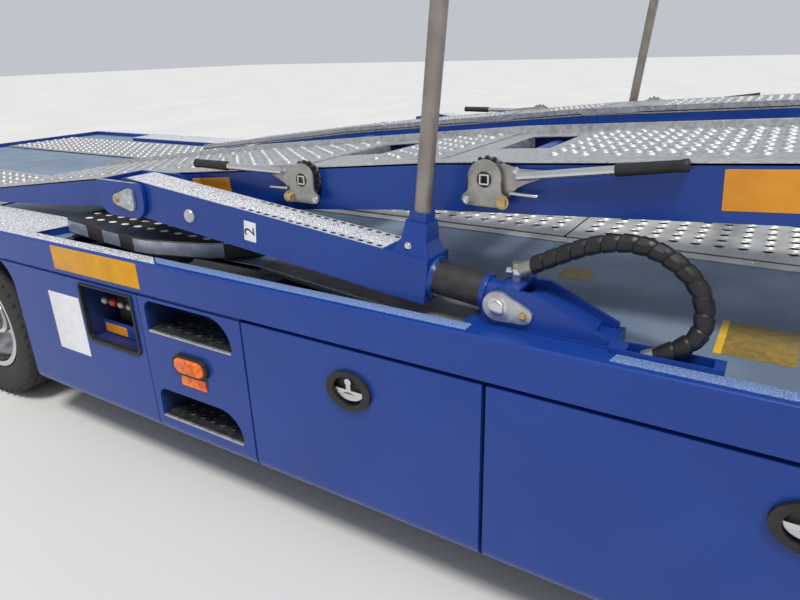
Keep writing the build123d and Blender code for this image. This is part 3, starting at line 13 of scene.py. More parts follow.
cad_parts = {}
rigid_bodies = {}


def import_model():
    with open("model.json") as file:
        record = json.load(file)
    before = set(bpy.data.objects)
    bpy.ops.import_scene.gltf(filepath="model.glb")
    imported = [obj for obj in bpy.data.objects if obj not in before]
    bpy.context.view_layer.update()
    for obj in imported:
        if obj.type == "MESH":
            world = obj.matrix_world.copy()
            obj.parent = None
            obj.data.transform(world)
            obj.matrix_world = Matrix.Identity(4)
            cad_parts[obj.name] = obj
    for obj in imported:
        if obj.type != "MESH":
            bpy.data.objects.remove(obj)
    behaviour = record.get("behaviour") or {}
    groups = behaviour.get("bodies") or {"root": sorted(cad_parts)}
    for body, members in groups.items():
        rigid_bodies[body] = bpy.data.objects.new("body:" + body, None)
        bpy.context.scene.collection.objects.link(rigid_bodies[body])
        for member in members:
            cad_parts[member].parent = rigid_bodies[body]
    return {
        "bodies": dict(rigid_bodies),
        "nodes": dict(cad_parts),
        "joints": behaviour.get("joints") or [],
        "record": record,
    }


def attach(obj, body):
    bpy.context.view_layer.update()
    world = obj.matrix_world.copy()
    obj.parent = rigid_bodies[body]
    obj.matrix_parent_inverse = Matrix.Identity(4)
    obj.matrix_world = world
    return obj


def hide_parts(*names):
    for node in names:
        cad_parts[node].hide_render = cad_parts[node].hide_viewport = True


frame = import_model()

log = logging.getLogger("trailer")
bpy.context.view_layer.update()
Color = tuple[float, float, float]
Flat = tuple[float, float]
Solid = tuple[float, float, float]
RIGHT, LEFT = -1, 1
SIDE_NAMES = {RIGHT: "right", LEFT: "left"}


class Pattern(Enum):
    """The kinds of surface pattern that a finish can have."""

    CLOUD = "soft drifting patches"
    SPANGLE = "crystals of hot-dip zinc"
    GRIT = "bonded mineral grains"
    BRUSHED = "fine lines along X"


@dataclass(frozen=True)
class Finish:
    """A procedural surface: two colours mixed by a pattern, with gloss, relief and road dust.

    Scales count features per metre. Dust fades upwards from the ground to dust_top metres.
    """

    name: str
    base: Color
    drift: Color
    pattern: Pattern = Pattern.CLOUD
    scale: float = 5.0
    spread: Flat = (0.35, 0.65)
    roughness: Flat = (0.3, 0.45)
    metallic: float = 0.0
    specular: float = 0.5
    coat: float = 0.0
    relief: float = 0.0
    relief_scale: float = 300.0
    dust: float = 0.0
    dust_top: float = 0.9
    transmission: float = 0.0
    glow: float = 0.0

    def material(self) -> bpy.types.Material:
        """Build the finish once and hand out the same material afterwards.

        Returns:
            The material.
        """
        ready = bpy.data.materials.get(self.name)
        if ready:
            return ready
        made = bpy.data.materials.new(self.name)
        made.use_nodes = True
        nodes, links = made.node_tree.nodes, made.node_tree.links
        shader = nodes["Principled BSDF"]
        shader.inputs["Metallic"].default_value = self.metallic
        shader.inputs["Specular IOR Level"].default_value = self.specular
        shader.inputs["Coat Weight"].default_value = self.coat
        shader.inputs["Coat Roughness"].default_value = 0.06
        shader.inputs["Transmission Weight"].default_value = self.transmission
        place = nodes.new("ShaderNodeTexCoord").outputs["Object"]
        factor = self._pattern(nodes, links, place)
        ramp = nodes.new("ShaderNodeValToRGB")
        for stop, at, shade in zip(ramp.color_ramp.elements, self.spread, (self.base, self.drift)):
            stop.position = at
            stop.color = (*shade, 1.0)
        links.new(factor, ramp.inputs["Fac"])
        color = ramp.outputs["Color"]
        if self.dust:
            color = self._dusted(nodes, links, place, color)
        links.new(color, shader.inputs["Base Color"])
        if self.glow:
            links.new(color, shader.inputs["Emission Color"])
            shader.inputs["Emission Strength"].default_value = self.glow
        gloss = nodes.new("ShaderNodeMapRange")
        gloss.inputs["To Min"].default_value, gloss.inputs["To Max"].default_value = self.roughness
        links.new(factor, gloss.inputs["Value"])
        links.new(gloss.outputs["Result"], shader.inputs["Roughness"])
        if self.relief:
            grain = nodes.new("ShaderNodeTexNoise")
            grain.inputs["Scale"].default_value = self.relief_scale
            grain.inputs["Detail"].default_value = 3.0
            links.new(place, grain.inputs["Vector"])
            bump = nodes.new("ShaderNodeBump")
            bump.inputs["Strength"].default_value = self.relief
            bump.inputs["Distance"].default_value = 0.5 / self.relief_scale
            links.new(grain.outputs["Fac"], bump.inputs["Height"])
            links.new(bump.outputs["Normal"], shader.inputs["Normal"])
        return made

    def _pattern(self, nodes: bpy.types.Nodes, links: bpy.types.NodeLinks,
                 place: bpy.types.NodeSocket) -> bpy.types.NodeSocket:
        """Return the pattern's value from 0 to 1.

        Args:
            nodes: The material's nodes.
            links: The material's links.
            place: The place on the piece that the pattern reads.

        Returns:
            The socket with the pattern's value.
        """
        if self.pattern is Pattern.SPANGLE:
            cells = nodes.new("ShaderNodeTexVoronoi")
            cells.inputs["Scale"].default_value = self.scale
            links.new(place, cells.inputs["Vector"])
            split = nodes.new("ShaderNodeSeparateColor")
            links.new(cells.outputs["Color"], split.inputs["Color"])
            return split.outputs["Red"]
        noise = nodes.new("ShaderNodeTexNoise")
        noise.inputs["Scale"].default_value = self.scale
        noise.inputs["Detail"].default_value = 6.0 if self.pattern is Pattern.CLOUD else 2.0
        if self.pattern is Pattern.BRUSHED:
            stretch = nodes.new("ShaderNodeMapping")
            stretch.inputs["Scale"].default_value = (0.02, 1.0, 1.0)
            links.new(place, stretch.inputs["Vector"])
            place = stretch.outputs["Vector"]
        links.new(place, noise.inputs["Vector"])
        return noise.outputs["Fac"]

    def _dusted(self, nodes: bpy.types.Nodes, links: bpy.types.NodeLinks, place: bpy.types.NodeSocket,
                color: bpy.types.NodeSocket) -> bpy.types.NodeSocket:
        """Mix pale road dust into a colour, more of it near the ground.

        Args:
            nodes: The material's nodes.
            links: The material's links.
            place: The place on the piece that the pattern reads.
            color: The clean colour.

        Returns:
            The socket with the dusted colour.
        """
        split = nodes.new("ShaderNodeSeparateXYZ")
        links.new(place, split.inputs["Vector"])
        fade = nodes.new("ShaderNodeMapRange")
        fade.inputs["From Max"].default_value = self.dust_top
        fade.inputs["To Min"].default_value = self.dust
        fade.inputs["To Max"].default_value = self.dust * 0.25
        links.new(split.outputs["Z"], fade.inputs["Value"])
        cloud = nodes.new("ShaderNodeTexNoise")
        cloud.inputs["Scale"].default_value = 9.0
        cloud.inputs["Detail"].default_value = 8.0
        links.new(place, cloud.inputs["Vector"])
        amount = nodes.new("ShaderNodeMath")
        amount.operation = "MULTIPLY"
        links.new(fade.outputs["Result"], amount.inputs[0])
        links.new(cloud.outputs["Fac"], amount.inputs[1])
        mix = nodes.new("ShaderNodeMix")
        mix.data_type = "RGBA"
        mix.inputs["B"].default_value = (*DUST, 1.0)
        links.new(amount.outputs["Value"], mix.inputs["Factor"])
        links.new(color, mix.inputs["A"])
        return mix.outputs["Result"]


DUST: Color = (0.30, 0.26, 0.21)
PAINT = Finish("deep_blue_paint", (0.005, 0.041, 0.260), (0.007, 0.048, 0.295), scale=3.0,
               roughness=(0.30, 0.42), specular=0.32, coat=0.18, relief=0.05, relief_scale=160.0, dust=0.07)
FRAME_PAINT = Finish("underframe_paint", (0.012, 0.020, 0.060), (0.022, 0.030, 0.075),
                     roughness=(0.45, 0.6), relief=0.08, dust=0.5, dust_top=0.8)
# Painted shade: the recess boxes get a much darker blue than the body paint, for the shade inside the
# wells.
SHADED_WELL_PAINT = Finish("recess_paint", (0.004, 0.018, 0.095), (0.006, 0.024, 0.125), roughness=(0.45, 0.6),
                    relief=0.06, dust=0.12, specular=0.3)
ZINC = Finish("zinc_coated_steel", (0.42, 0.43, 0.44), (0.60, 0.61, 0.62), Pattern.SPANGLE, scale=90.0,
              spread=(0.0, 1.0), roughness=(0.32, 0.5), metallic=0.75, relief=0.05, relief_scale=90.0)
DECK = Finish("deck_aluminium", (0.56, 0.57, 0.56), (0.72, 0.72, 0.70), scale=7.0, roughness=(0.35, 0.6),
              metallic=0.45, relief=0.06, relief_scale=120.0)
# Painted shade: the low deck's aluminium floor gets the blue-grey it shows in shade under a blue sky.
SHADED_FLOOR_PLATE = Finish("floor_plate", (0.17, 0.235, 0.33), (0.24, 0.315, 0.42), scale=5.0,
                     roughness=(0.45, 0.62), metallic=0.30, relief=0.05, relief_scale=80.0)
GRIT = Finish("silver_grit_tape", (0.08, 0.09, 0.12), (0.93, 0.94, 0.97), Pattern.GRIT, scale=310.0,
              spread=(0.42, 0.54), roughness=(0.4, 0.8), relief=0.5, relief_scale=300.0)
# Painted shade: the same grit tape as the white strips, coloured pale blue where it lies in shade.
SHADED_GRIT = Finish("pale_blue_grit_tape", (0.07, 0.15, 0.38), (0.26, 0.37, 0.61), Pattern.GRIT, scale=250.0,
                   spread=(0.40, 0.60), roughness=(0.4, 0.8), relief=0.4, relief_scale=300.0)
POST_ZINC = Finish("weathered_zinc", (0.240, 0.205, 0.178), (0.36, 0.32, 0.285), Pattern.CLOUD, scale=14.0,
                   spread=(0.3, 0.7), roughness=(0.34, 0.5), metallic=0.55, relief=0.05, relief_scale=90.0)
# Painted shade: the step treads are near black to stand for the dark depth of the step wells.
SHADED_STEP_TREAD = Finish("dull_step_steel", (0.030, 0.032, 0.036), (0.080, 0.082, 0.085), scale=40.0,
                    roughness=(0.45, 0.65), metallic=0.6, relief=0.1)
TREAD_RUBBER = Finish("tyre_rubber", (0.012, 0.012, 0.013), (0.028, 0.027, 0.026), scale=14.0,
                      roughness=(0.7, 0.9), relief=0.12, dust=0.35, dust_top=0.8)
POLISHED = Finish("polished_alloy", (0.66, 0.66, 0.67), (0.80, 0.80, 0.81), Pattern.CLOUD, scale=4.0,
                  roughness=(0.12, 0.24), metallic=1.0, dust=0.10, dust_top=0.5)
CHROME = Finish("plated_steel", (0.62, 0.62, 0.63), (0.74, 0.74, 0.75), Pattern.BRUSHED, scale=400.0,
                roughness=(0.16, 0.3), metallic=1.0)
BARE_STEEL = Finish("bare_steel", (0.34, 0.33, 0.31), (0.46, 0.44, 0.41), scale=30.0, roughness=(0.3, 0.5),
                    metallic=0.8, relief=0.05)
PASSIVATED = Finish("yellow_passivated_zinc", (0.50, 0.35, 0.16), (0.64, 0.46, 0.25), scale=60.0,
                    roughness=(0.25, 0.4), metallic=0.9)
BLACK_METAL = Finish("satin_black_paint", (0.012, 0.012, 0.013), (0.026, 0.025, 0.024), scale=20.0,
                     roughness=(0.4, 0.6), relief=0.1, dust=0.25)
ROD_COVER = Finish("matt_black_barrel", (0.018, 0.018, 0.020), (0.035, 0.033, 0.032), scale=40.0,
                   roughness=(0.55, 0.75), relief=0.2, relief_scale=250.0)
HOSE_RUBBER = Finish("hose_guard_plastic", (0.006, 0.006, 0.007), (0.014, 0.014, 0.015), scale=30.0,
                     roughness=(0.34, 0.5), relief=0.05)
FLAP_RUBBER = Finish("flap_rubber", (0.020, 0.019, 0.018), (0.05, 0.045, 0.04), scale=12.0,
                     roughness=(0.7, 0.9), relief=0.1, dust=0.8, dust_top=0.7)
AMBER = Finish("amber_lens", (0.60, 0.070, 0.004), (0.95, 0.21, 0.012), Pattern.GRIT, scale=45.0,
               roughness=(0.08, 0.2), specular=0.3, coat=0.25, relief=0.3, relief_scale=260.0, glow=0.06)
# Painted light: the reflectors glow a little, though they are no lamps.
REFLEX_GLOW = Finish("orange_reflector", (0.85, 0.040, 0.012), (1.0, 0.085, 0.022), Pattern.SPANGLE, scale=400.0,
                spread=(0.0, 1.0), roughness=(0.15, 0.3), specular=0.3, coat=0.2, glow=0.12)
# Painted reflection: pale blue-grey that stands for the sky mirrored in the lift arm's blue top.
PAINTED_SKY_REFLECTION = Finish("bare_plate_margin", (0.50, 0.54, 0.60), (0.70, 0.73, 0.78), scale=30.0,
                     roughness=(0.4, 0.6), metallic=0.2)
GREY_SIDE_PLATE = Finish("worn_side_plate", (0.150, 0.155, 0.165), (0.260, 0.262, 0.270), Pattern.CLOUD,
                    scale=9.0, roughness=(0.42, 0.6), metallic=0.3, relief=0.08, relief_scale=200.0)
RUBBER_SEAL = Finish("seal_rubber", (0.010, 0.010, 0.010), (0.02, 0.02, 0.02), scale=40.0,
                     roughness=(0.5, 0.65), relief=0.06)
YELLOW_PLATE = Finish("yellow_plate", (0.64, 0.29, 0.006), (0.74, 0.35, 0.010), scale=14.0,
                      roughness=(0.3, 0.45), specular=0.3)
ORANGE_PLATE = Finish("orange_plate", (0.72, 0.27, 0.01), (0.80, 0.33, 0.015), scale=14.0,
                      roughness=(0.3, 0.45))
LEMON_PLATE = Finish("lemon_plate", (0.78, 0.46, 0.01), (0.88, 0.55, 0.02), scale=14.0,
                     roughness=(0.3, 0.45))
OCHRE_PLATE = Finish("ochre_plate", (0.22, 0.15, 0.03), (0.36, 0.24, 0.04), scale=60.0,
                     roughness=(0.35, 0.5))
WHITE_LABEL = Finish("white_label", (0.76, 0.77, 0.80), (0.84, 0.84, 0.86), scale=30.0,
                     roughness=(0.4, 0.55))
# Black for print, and painted shade in the lift arms' drain holes and under the low deck's dimples.
BLACK_INK_AND_SHADE = Finish("black_ink", (0.012, 0.012, 0.014), (0.03, 0.03, 0.03), scale=50.0,
                   roughness=(0.45, 0.6))
KNOB_RED = Finish("red_knob", (0.45, 0.02, 0.015), (0.6, 0.04, 0.03), scale=40.0, roughness=(0.2, 0.35),
                  coat=0.3)
# Painted shade: the ramp's edge tape is bluish grey, the look of white tape in shade.
SHADED_TAPE = Finish("reflective_tape", (0.27, 0.32, 0.39), (0.46, 0.52, 0.60), scale=16.0,
                    roughness=(0.25, 0.42), metallic=0.4)
# Painted sunlight: the near-white sheet seen through the stored ramp's holes stands for sun falling through
# them.
SUNLIT_HOLE_PAINT = Finish("bright_hole_rims", (0.84, 0.84, 0.82), (0.94, 0.94, 0.92), scale=40.0,
                  roughness=(0.5, 0.7))
STUDIO_FLOOR = Finish("studio_floor", (0.66, 0.66, 0.65), (0.70, 0.70, 0.69), scale=0.6,
                      roughness=(0.85, 0.95))

SLOT_FINISHES = {
    "blue_paint": PAINT, "frame_paint": FRAME_PAINT, "deck_paint": SHADED_FLOOR_PLATE, "galvanised": ZINC,
    "polished_rim": POLISHED, "black_metal": BLACK_METAL, "machined_steel": BARE_STEEL,
    "ratchet_steel": CHROME, "lamp_lens": AMBER, "hose_rubber": HOSE_RUBBER, "flap_rubber": FLAP_RUBBER,
    "tyre_rubber": TREAD_RUBBER,
}


def nothing_selected() -> None:
    """Leave edit mode and deselect every object."""
    if bpy.context.object and bpy.context.object.mode != "OBJECT":
        bpy.ops.object.mode_set(mode="OBJECT")
    bpy.ops.object.select_all(action="DESELECT")


def pick(*pieces: bpy.types.Object) -> None:
    """Select only these pieces, with the first one active.

    Args:
        pieces: The pieces to select.
    """
    nothing_selected()
    for piece in pieces:
        piece.select_set(True)
    bpy.context.view_layer.objects.active = pieces[0]


def settle(piece: bpy.types.Object) -> bpy.types.Object:
    """Move a piece's place, turn and scale into its mesh.

    Args:
        piece: The piece.

    Returns:
        The same piece, with its object at the origin.
    """
    pick(piece)
    bpy.ops.object.transform_apply(location=True, rotation=True, scale=True)
    return piece


def placed(piece: bpy.types.Object, place: Matrix) -> bpy.types.Object:
    """Put a piece that was drawn at the origin in its place.

    Returns:
        The same piece, settled.
    """
    piece.matrix_world = place @ piece.matrix_world
    return settle(piece)


def applied(piece: bpy.types.Object, kind: str, **settings: object) -> bpy.types.Object:
    """Add a modifier to a piece and apply it.

    Args:
        piece: The piece to change.
        kind: The modifier's type.
        settings: The modifier's own settings.

    Returns:
        The same piece.
    """
    pick(piece)
    modifier = piece.modifiers.new(kind.lower(), kind)
    for key, value in settings.items():
        setattr(modifier, key, value)
    bpy.ops.object.modifier_apply(modifier=modifier.name)
    return piece


def softened(piece: bpy.types.Object, width: float, segments: int = 2) -> bpy.types.Object:
    """Round the edges of a piece that turn by more than 35 degrees."""
    return applied(piece, "BEVEL", width=width, segments=segments, limit_method="ANGLE",
                   angle_limit=math.radians(35))


def smoothed(piece: bpy.types.Object, degrees: float = 35.0) -> bpy.types.Object:
    """Shade a piece smooth, apart from its sharp edges.

    Args:
        piece: The piece.
        degrees: The angle past which an edge stays sharp.

    Returns:
        The same piece.
    """
    pick(piece)
    bpy.ops.object.shade_smooth_by_angle(angle=math.radians(degrees))
    return piece


def tidied(piece: bpy.types.Object) -> bpy.types.Object:
    """Merge doubled points and turn every face outwards.

    Args:
        piece: The piece.

    Returns:
        The same piece.
    """
    pick(piece)
    bpy.ops.object.mode_set(mode="EDIT")
    bpy.ops.mesh.select_all(action="SELECT")
    bpy.ops.mesh.remove_doubles(threshold=1e-5)
    bpy.ops.mesh.normals_make_consistent(inside=False)
    bpy.ops.object.mode_set(mode="OBJECT")
    return piece


def joined(pieces: Sequence[bpy.types.Object]) -> bpy.types.Object:
    """Join several settled pieces into the first of them.

    Args:
        pieces: The settled pieces.

    Returns:
        The first piece, which now holds them all.
    """
    pick(*pieces)
    if len(pieces) > 1:
        bpy.ops.object.join()
    return pieces[0]


def copied(piece: bpy.types.Object, place: Matrix | None = None) -> bpy.types.Object:
    """Copy a piece with a mesh of its own, and move the copy.

    Args:
        piece: The piece to copy.
        place: The move, in the trailer's frame.

    Returns:
        The settled copy.
    """
    pick(piece)
    bpy.ops.object.duplicate(linked=False)
    twin = bpy.context.object
    return placed(twin, place) if place else twin


def mirrored(piece: bpy.types.Object) -> bpy.types.Object:
    """Copy a right-hand piece to the left side.

    Args:
        piece: The right-hand piece.

    Returns:
        The mirrored copy, with its faces turned outwards.
    """
    twin = copied(piece, Matrix.Scale(-1, 4, (0, 1, 0)))
    pick(twin)
    bpy.ops.object.mode_set(mode="EDIT")
    bpy.ops.mesh.select_all(action="SELECT")
    bpy.ops.mesh.flip_normals()
    bpy.ops.object.mode_set(mode="OBJECT")
    return twin


def block(low: Solid, high: Solid, edge: float = 0.0) -> bpy.types.Object:
    """Model a rectangular piece between two corners, with softened edges.

    Args:
        low: The lowest corner.
        high: The highest corner.
        edge: How far the edges are softened.

    Returns:
        The finished piece.
    """
    nothing_selected()
    middle = [(a + b) / 2 for a, b in zip(low, high)]
    bpy.ops.mesh.primitive_cube_add(size=1.0, location=middle)
    piece = bpy.context.object
    piece.scale = [abs(b - a) for a, b in zip(low, high)]
    settle(piece)
    return softened(piece, edge) if edge else piece


def rod(start: Solid, end: Solid, radius: float, sides: int = 20, tip: float | None = None,
        edge: float = 0.0) -> bpy.types.Object:
    """Model a round bar, or a cone where tip gives the far end's radius.

    Args:
        start: One end.
        end: The other end.
        radius: The radius.
        sides: How many flats it has.
        tip: The far end's radius, where it differs.
        edge: How far the edges are softened.

    Returns:
        The settled bar.
    """
    nothing_selected()
    first, last = Vector(start), Vector(end)
    run = last - first
    bpy.ops.mesh.primitive_cone_add(vertices=sides, radius1=radius, radius2=radius if tip is None else tip,
                                    depth=run.length, location=(first + last) / 2,
                                    rotation=run.to_track_quat("Z", "Y").to_euler())
    piece = settle(bpy.context.object)
    if edge:
        softened(piece, edge)
    return smoothed(piece)


def outline_curve(outlines: Sequence[Sequence[Flat]], filled: bool = True) -> bpy.types.Object:
    """Draw closed flat outlines as one curve, where inner outlines become holes.

    Args:
        outlines: The outlines' points.
        filled: Whether the curve's inside is a face.

    Returns:
        The curve's object.
    """
    curve = bpy.data.curves.new("outline", "CURVE")
    curve.dimensions = "2D" if filled else "3D"
    curve.fill_mode = "BOTH" if filled else "FULL"
    for points in outlines:
        spline = curve.splines.new("POLY")
        spline.points.add(len(points) - 1)
        for point, (u, v) in zip(spline.points, points):
            point.co = (u, v, 0.0, 1.0)
        spline.use_cyclic_u = filled
    drawn = bpy.data.objects.new("outline", curve)
    bpy.context.collection.objects.link(drawn)
    return drawn


def cut_plate(outlines: Sequence[Sequence[Flat]], thickness: float, place: Matrix,
              edge: float = 0.0) -> bpy.types.Object:
    """Cut a flat plate from closed outlines.

    Args:
        outlines: The outer outline, then any holes, in the plate's own u and v.
        thickness: The plate's thickness, which rises from the drawn plane.
        place: Where the plate's own axes lie in the trailer's frame.
        edge: The bevel round its edges.

    Returns:
        The settled plate.
    """
    drawn = outline_curve(outlines)
    drawn.data.extrude = thickness / 2
    drawn.location.z = thickness / 2
    pick(drawn)
    bpy.ops.object.convert(target="MESH")
    plate = settle(bpy.context.object)
    tidied(plate)
    if edge:
        softened(plate, edge)
    return smoothed(placed(plate, place), 30)


def turned(rows: Sequence[Flat], centre: Solid, along: Solid, steps: int = 48) -> bpy.types.Object:
    """Spin a profile about an axle.

    Args:
        rows: Points as (distance along the axle, radius). A closed profile repeats its first point.
        centre: The point of the axle that the distances start from.
        along: The axle's direction.
        steps: How many faces go round.

    Returns:
        The settled ring.
    """
    curve = outline_curve([rows], filled=False)
    pick(curve)
    bpy.ops.object.convert(target="MESH")
    ring = bpy.context.object
    applied(ring, "SCREW", axis="X", angle=math.tau, steps=steps, render_steps=steps,
            use_merge_vertices=True, merge_threshold=1e-5)
    tidied(ring)
    turn = Vector(along).to_track_quat("X", "Z").to_matrix().to_4x4()
    return smoothed(placed(ring, Matrix.Translation(centre) @ turn), 40)


def arc(centre: Flat, radius: float, start: float, end: float, steps: int) -> list[Flat]:
    """Points along an arc, with the angles in degrees."""
    angles = [math.radians(start + (end - start) * count / steps) for count in range(steps + 1)]
    return [(centre[0] + radius * math.cos(turn), centre[1] + radius * math.sin(turn)) for turn in angles]


def oval(half_width: float, half_height: float) -> list[Flat]:
    """Lay out the points of an oval.

    Args:
        half_width: Half its width.
        half_height: Half its height.

    Returns:
        The outline's points.
    """
    turns = (math.tau * step / 40 for step in range(40))
    return [(half_width * math.cos(turn), half_height * math.sin(turn)) for turn in turns]



def stadium(reach: float, radius: float) -> list[Flat]:
    """Lay out the points of a long outline with two round ends.

    Args:
        reach: How far each end's middle lies from the outline's own.
        radius: The radius of both ends.

    Returns:
        The outline's points.
    """
    return arc((reach, 0), radius, -90, 90, 12) + arc((-reach, 0), radius, 90, 270, 12)


def ring(radius: float, centre: Flat = (0.0, 0.0), steps: int = 20) -> list[Flat]:
    """A full circle without its repeated last point."""
    return arc(centre, radius, 0, 360, steps)[:-1]


def rounded(width: Flat, height: Flat, radii: Sequence[float]) -> list[Flat]:
    """A rectangle between two ranges with four corner radii, from the lower left one anticlockwise.

    Args:
        width: Its lowest and highest u.
        height: Its lowest and highest v.
        radii: The four corner radii.

    Returns:
        The outline's points.
    """
    (left, right), (low, high) = width, height
    spots = ((left, low, 1, 1, 180), (right, low, -1, 1, 270), (right, high, -1, -1, 0),
             (left, high, 1, -1, 90))
    points: list[Flat] = []
    for (u, v, way_u, way_v, start), radius in zip(spots, radii):
        if radius:
            points += arc((u + way_u * radius, v + way_v * radius), radius, start, start + 90, 6)
        else:
            points.append((u, v))
    return points


def hull_outline(circles: Sequence[Solid], steps: int = 72) -> list[Flat]:
    """The outline stretched round several circles, each given as u, v and radius.

    Args:
        circles: The circles.
        steps: The steps in a full circle.

    Returns:
        The outline's points.
    """
    points = []
    for step in range(steps):
        c, s = math.cos(math.tau * step / steps), math.sin(math.tau * step / steps)
        u, v, radius = max(circles, key=lambda circle: circle[0] * c + circle[1] * s + circle[2])
        points.append((u + radius * c, v + radius * s))
    return points


def filleted(rows: Sequence[Solid], steps: int = 6) -> list[Flat]:
    """A closed outline with rounded corners, from rows of u, v and corner radius.

    Args:
        rows: The corners.
        steps: The steps in each corner.

    Returns:
        The outline's points.
    """
    points: list[Flat] = []
    for index, (u, v, radius) in enumerate(rows):
        spot = Vector((u, v))
        back = (Vector(rows[index - 1][:2]) - spot).normalized()
        ahead = (Vector(rows[(index + 1) % len(rows)][:2]) - spot).normalized()
        reach = radius / math.tan(back.angle(ahead) / 2)
        for step in range(steps + 1):
            share = step / steps
            point = (spot + back * reach) * (1 - share) ** 2 + spot * 2 * share * (1 - share)
            point += (spot + ahead * reach) * share ** 2
            points.append((point.x, point.y))
    return points


def inset(points: Sequence[Flat], by: float) -> list[Flat]:
    """A closed outline moved towards its own middle line.

    Args:
        points: The outline's points.
        by: How far it moves.

    Returns:
        The outline's points.
    """
    moved = []
    middle = sum((Vector(point) for point in points), Vector((0, 0))) / len(points)
    for index, point in enumerate(points):
        run = Vector(points[(index + 1) % len(points)]) - Vector(points[index - 1])
        out = Vector((run.y, -run.x)).normalized()
        spot = Vector(point)
        if out.dot(spot - middle) < 0:
            out = -out
        moved.append(tuple(spot - out * by))
    return moved


def facing(origin: Solid, side: int = RIGHT, lean: float = 0.0) -> Matrix:
    """Axes of a plate on the side of the trailer: u forward, v up and its thickness outwards.

    Args:
        origin: The plate's own origin in the trailer's frame.
        side: RIGHT or LEFT.
        lean: Turn in the plate's own plane, in degrees.

    Returns:
        The plate's place. On the left the u axis points backwards.
    """
    columns = ((-side, 0, 0), (0, 0, 1), (0, side, 0))
    turn = Matrix(columns).transposed().to_4x4()
    return Matrix.Translation(origin) @ turn @ Matrix.Rotation(math.radians(lean), 4, "Z")


def dressed(piece: bpy.types.Object, name: str, body: str, finish: Finish,
            replaces: Iterable[str] = ()) -> bpy.types.Object:
    """Name a finished piece, give it its finish and let it ride on its body.

    Args:
        piece: The settled piece.
        name: Its name in the scene.
        body: The body that carries it.
        finish: Its surface.
        replaces: The plain nodes that it stands for.

    Returns:
        The same piece.
    """
    piece.name = name
    piece.data.name = name
    piece.data.materials.clear()
    piece.data.materials.append(finish.material())
    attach(piece, body)
    if replaces:
        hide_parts(*replaces)
    log.info("%s rides on %s", name, body)
    return piece


def on_both_sides(make: Callable[[], bpy.types.Object], name: str, body: str, finish: Finish) -> None:
    """Model a right-hand piece, mirror it to the left and dress both.

    Args:
        make: Models the right-hand piece.
        name: The name without its side. A body name may hold {side}.
        body: The body, with {side} where each side has its own.
        finish: Their surface.
    """
    right = make()
    left = mirrored(right)
    for piece, side in ((right, RIGHT), (left, LEFT)):
        dressed(piece, f"{name}_{SIDE_NAMES[side]}", body.format(side=SIDE_NAMES[side]), finish)


@dataclass(frozen=True)
class HexBolt:
    """A hexagon bolt head on its washer."""

    across: float = 0.024
    height: float = 0.010
    washer: float = 0.003

    def model(self, place: Matrix) -> bpy.types.Object:
        """Model the head so that it stands out along the place's own Z axis.

        Args:
            place: Where the head stands, with Z along its shank.

        Returns:
            The finished piece.
        """
        radius = self.across / math.sqrt(3)
        head = rod((0, 0, self.washer), (0, 0, self.washer + self.height), radius, sides=6,
                   edge=self.height * 0.12)
        disc = rod((0, 0, 0), (0, 0, self.washer), radius * 1.25, sides=20, edge=self.washer * 0.3)
        return placed(joined([head, disc]), place)


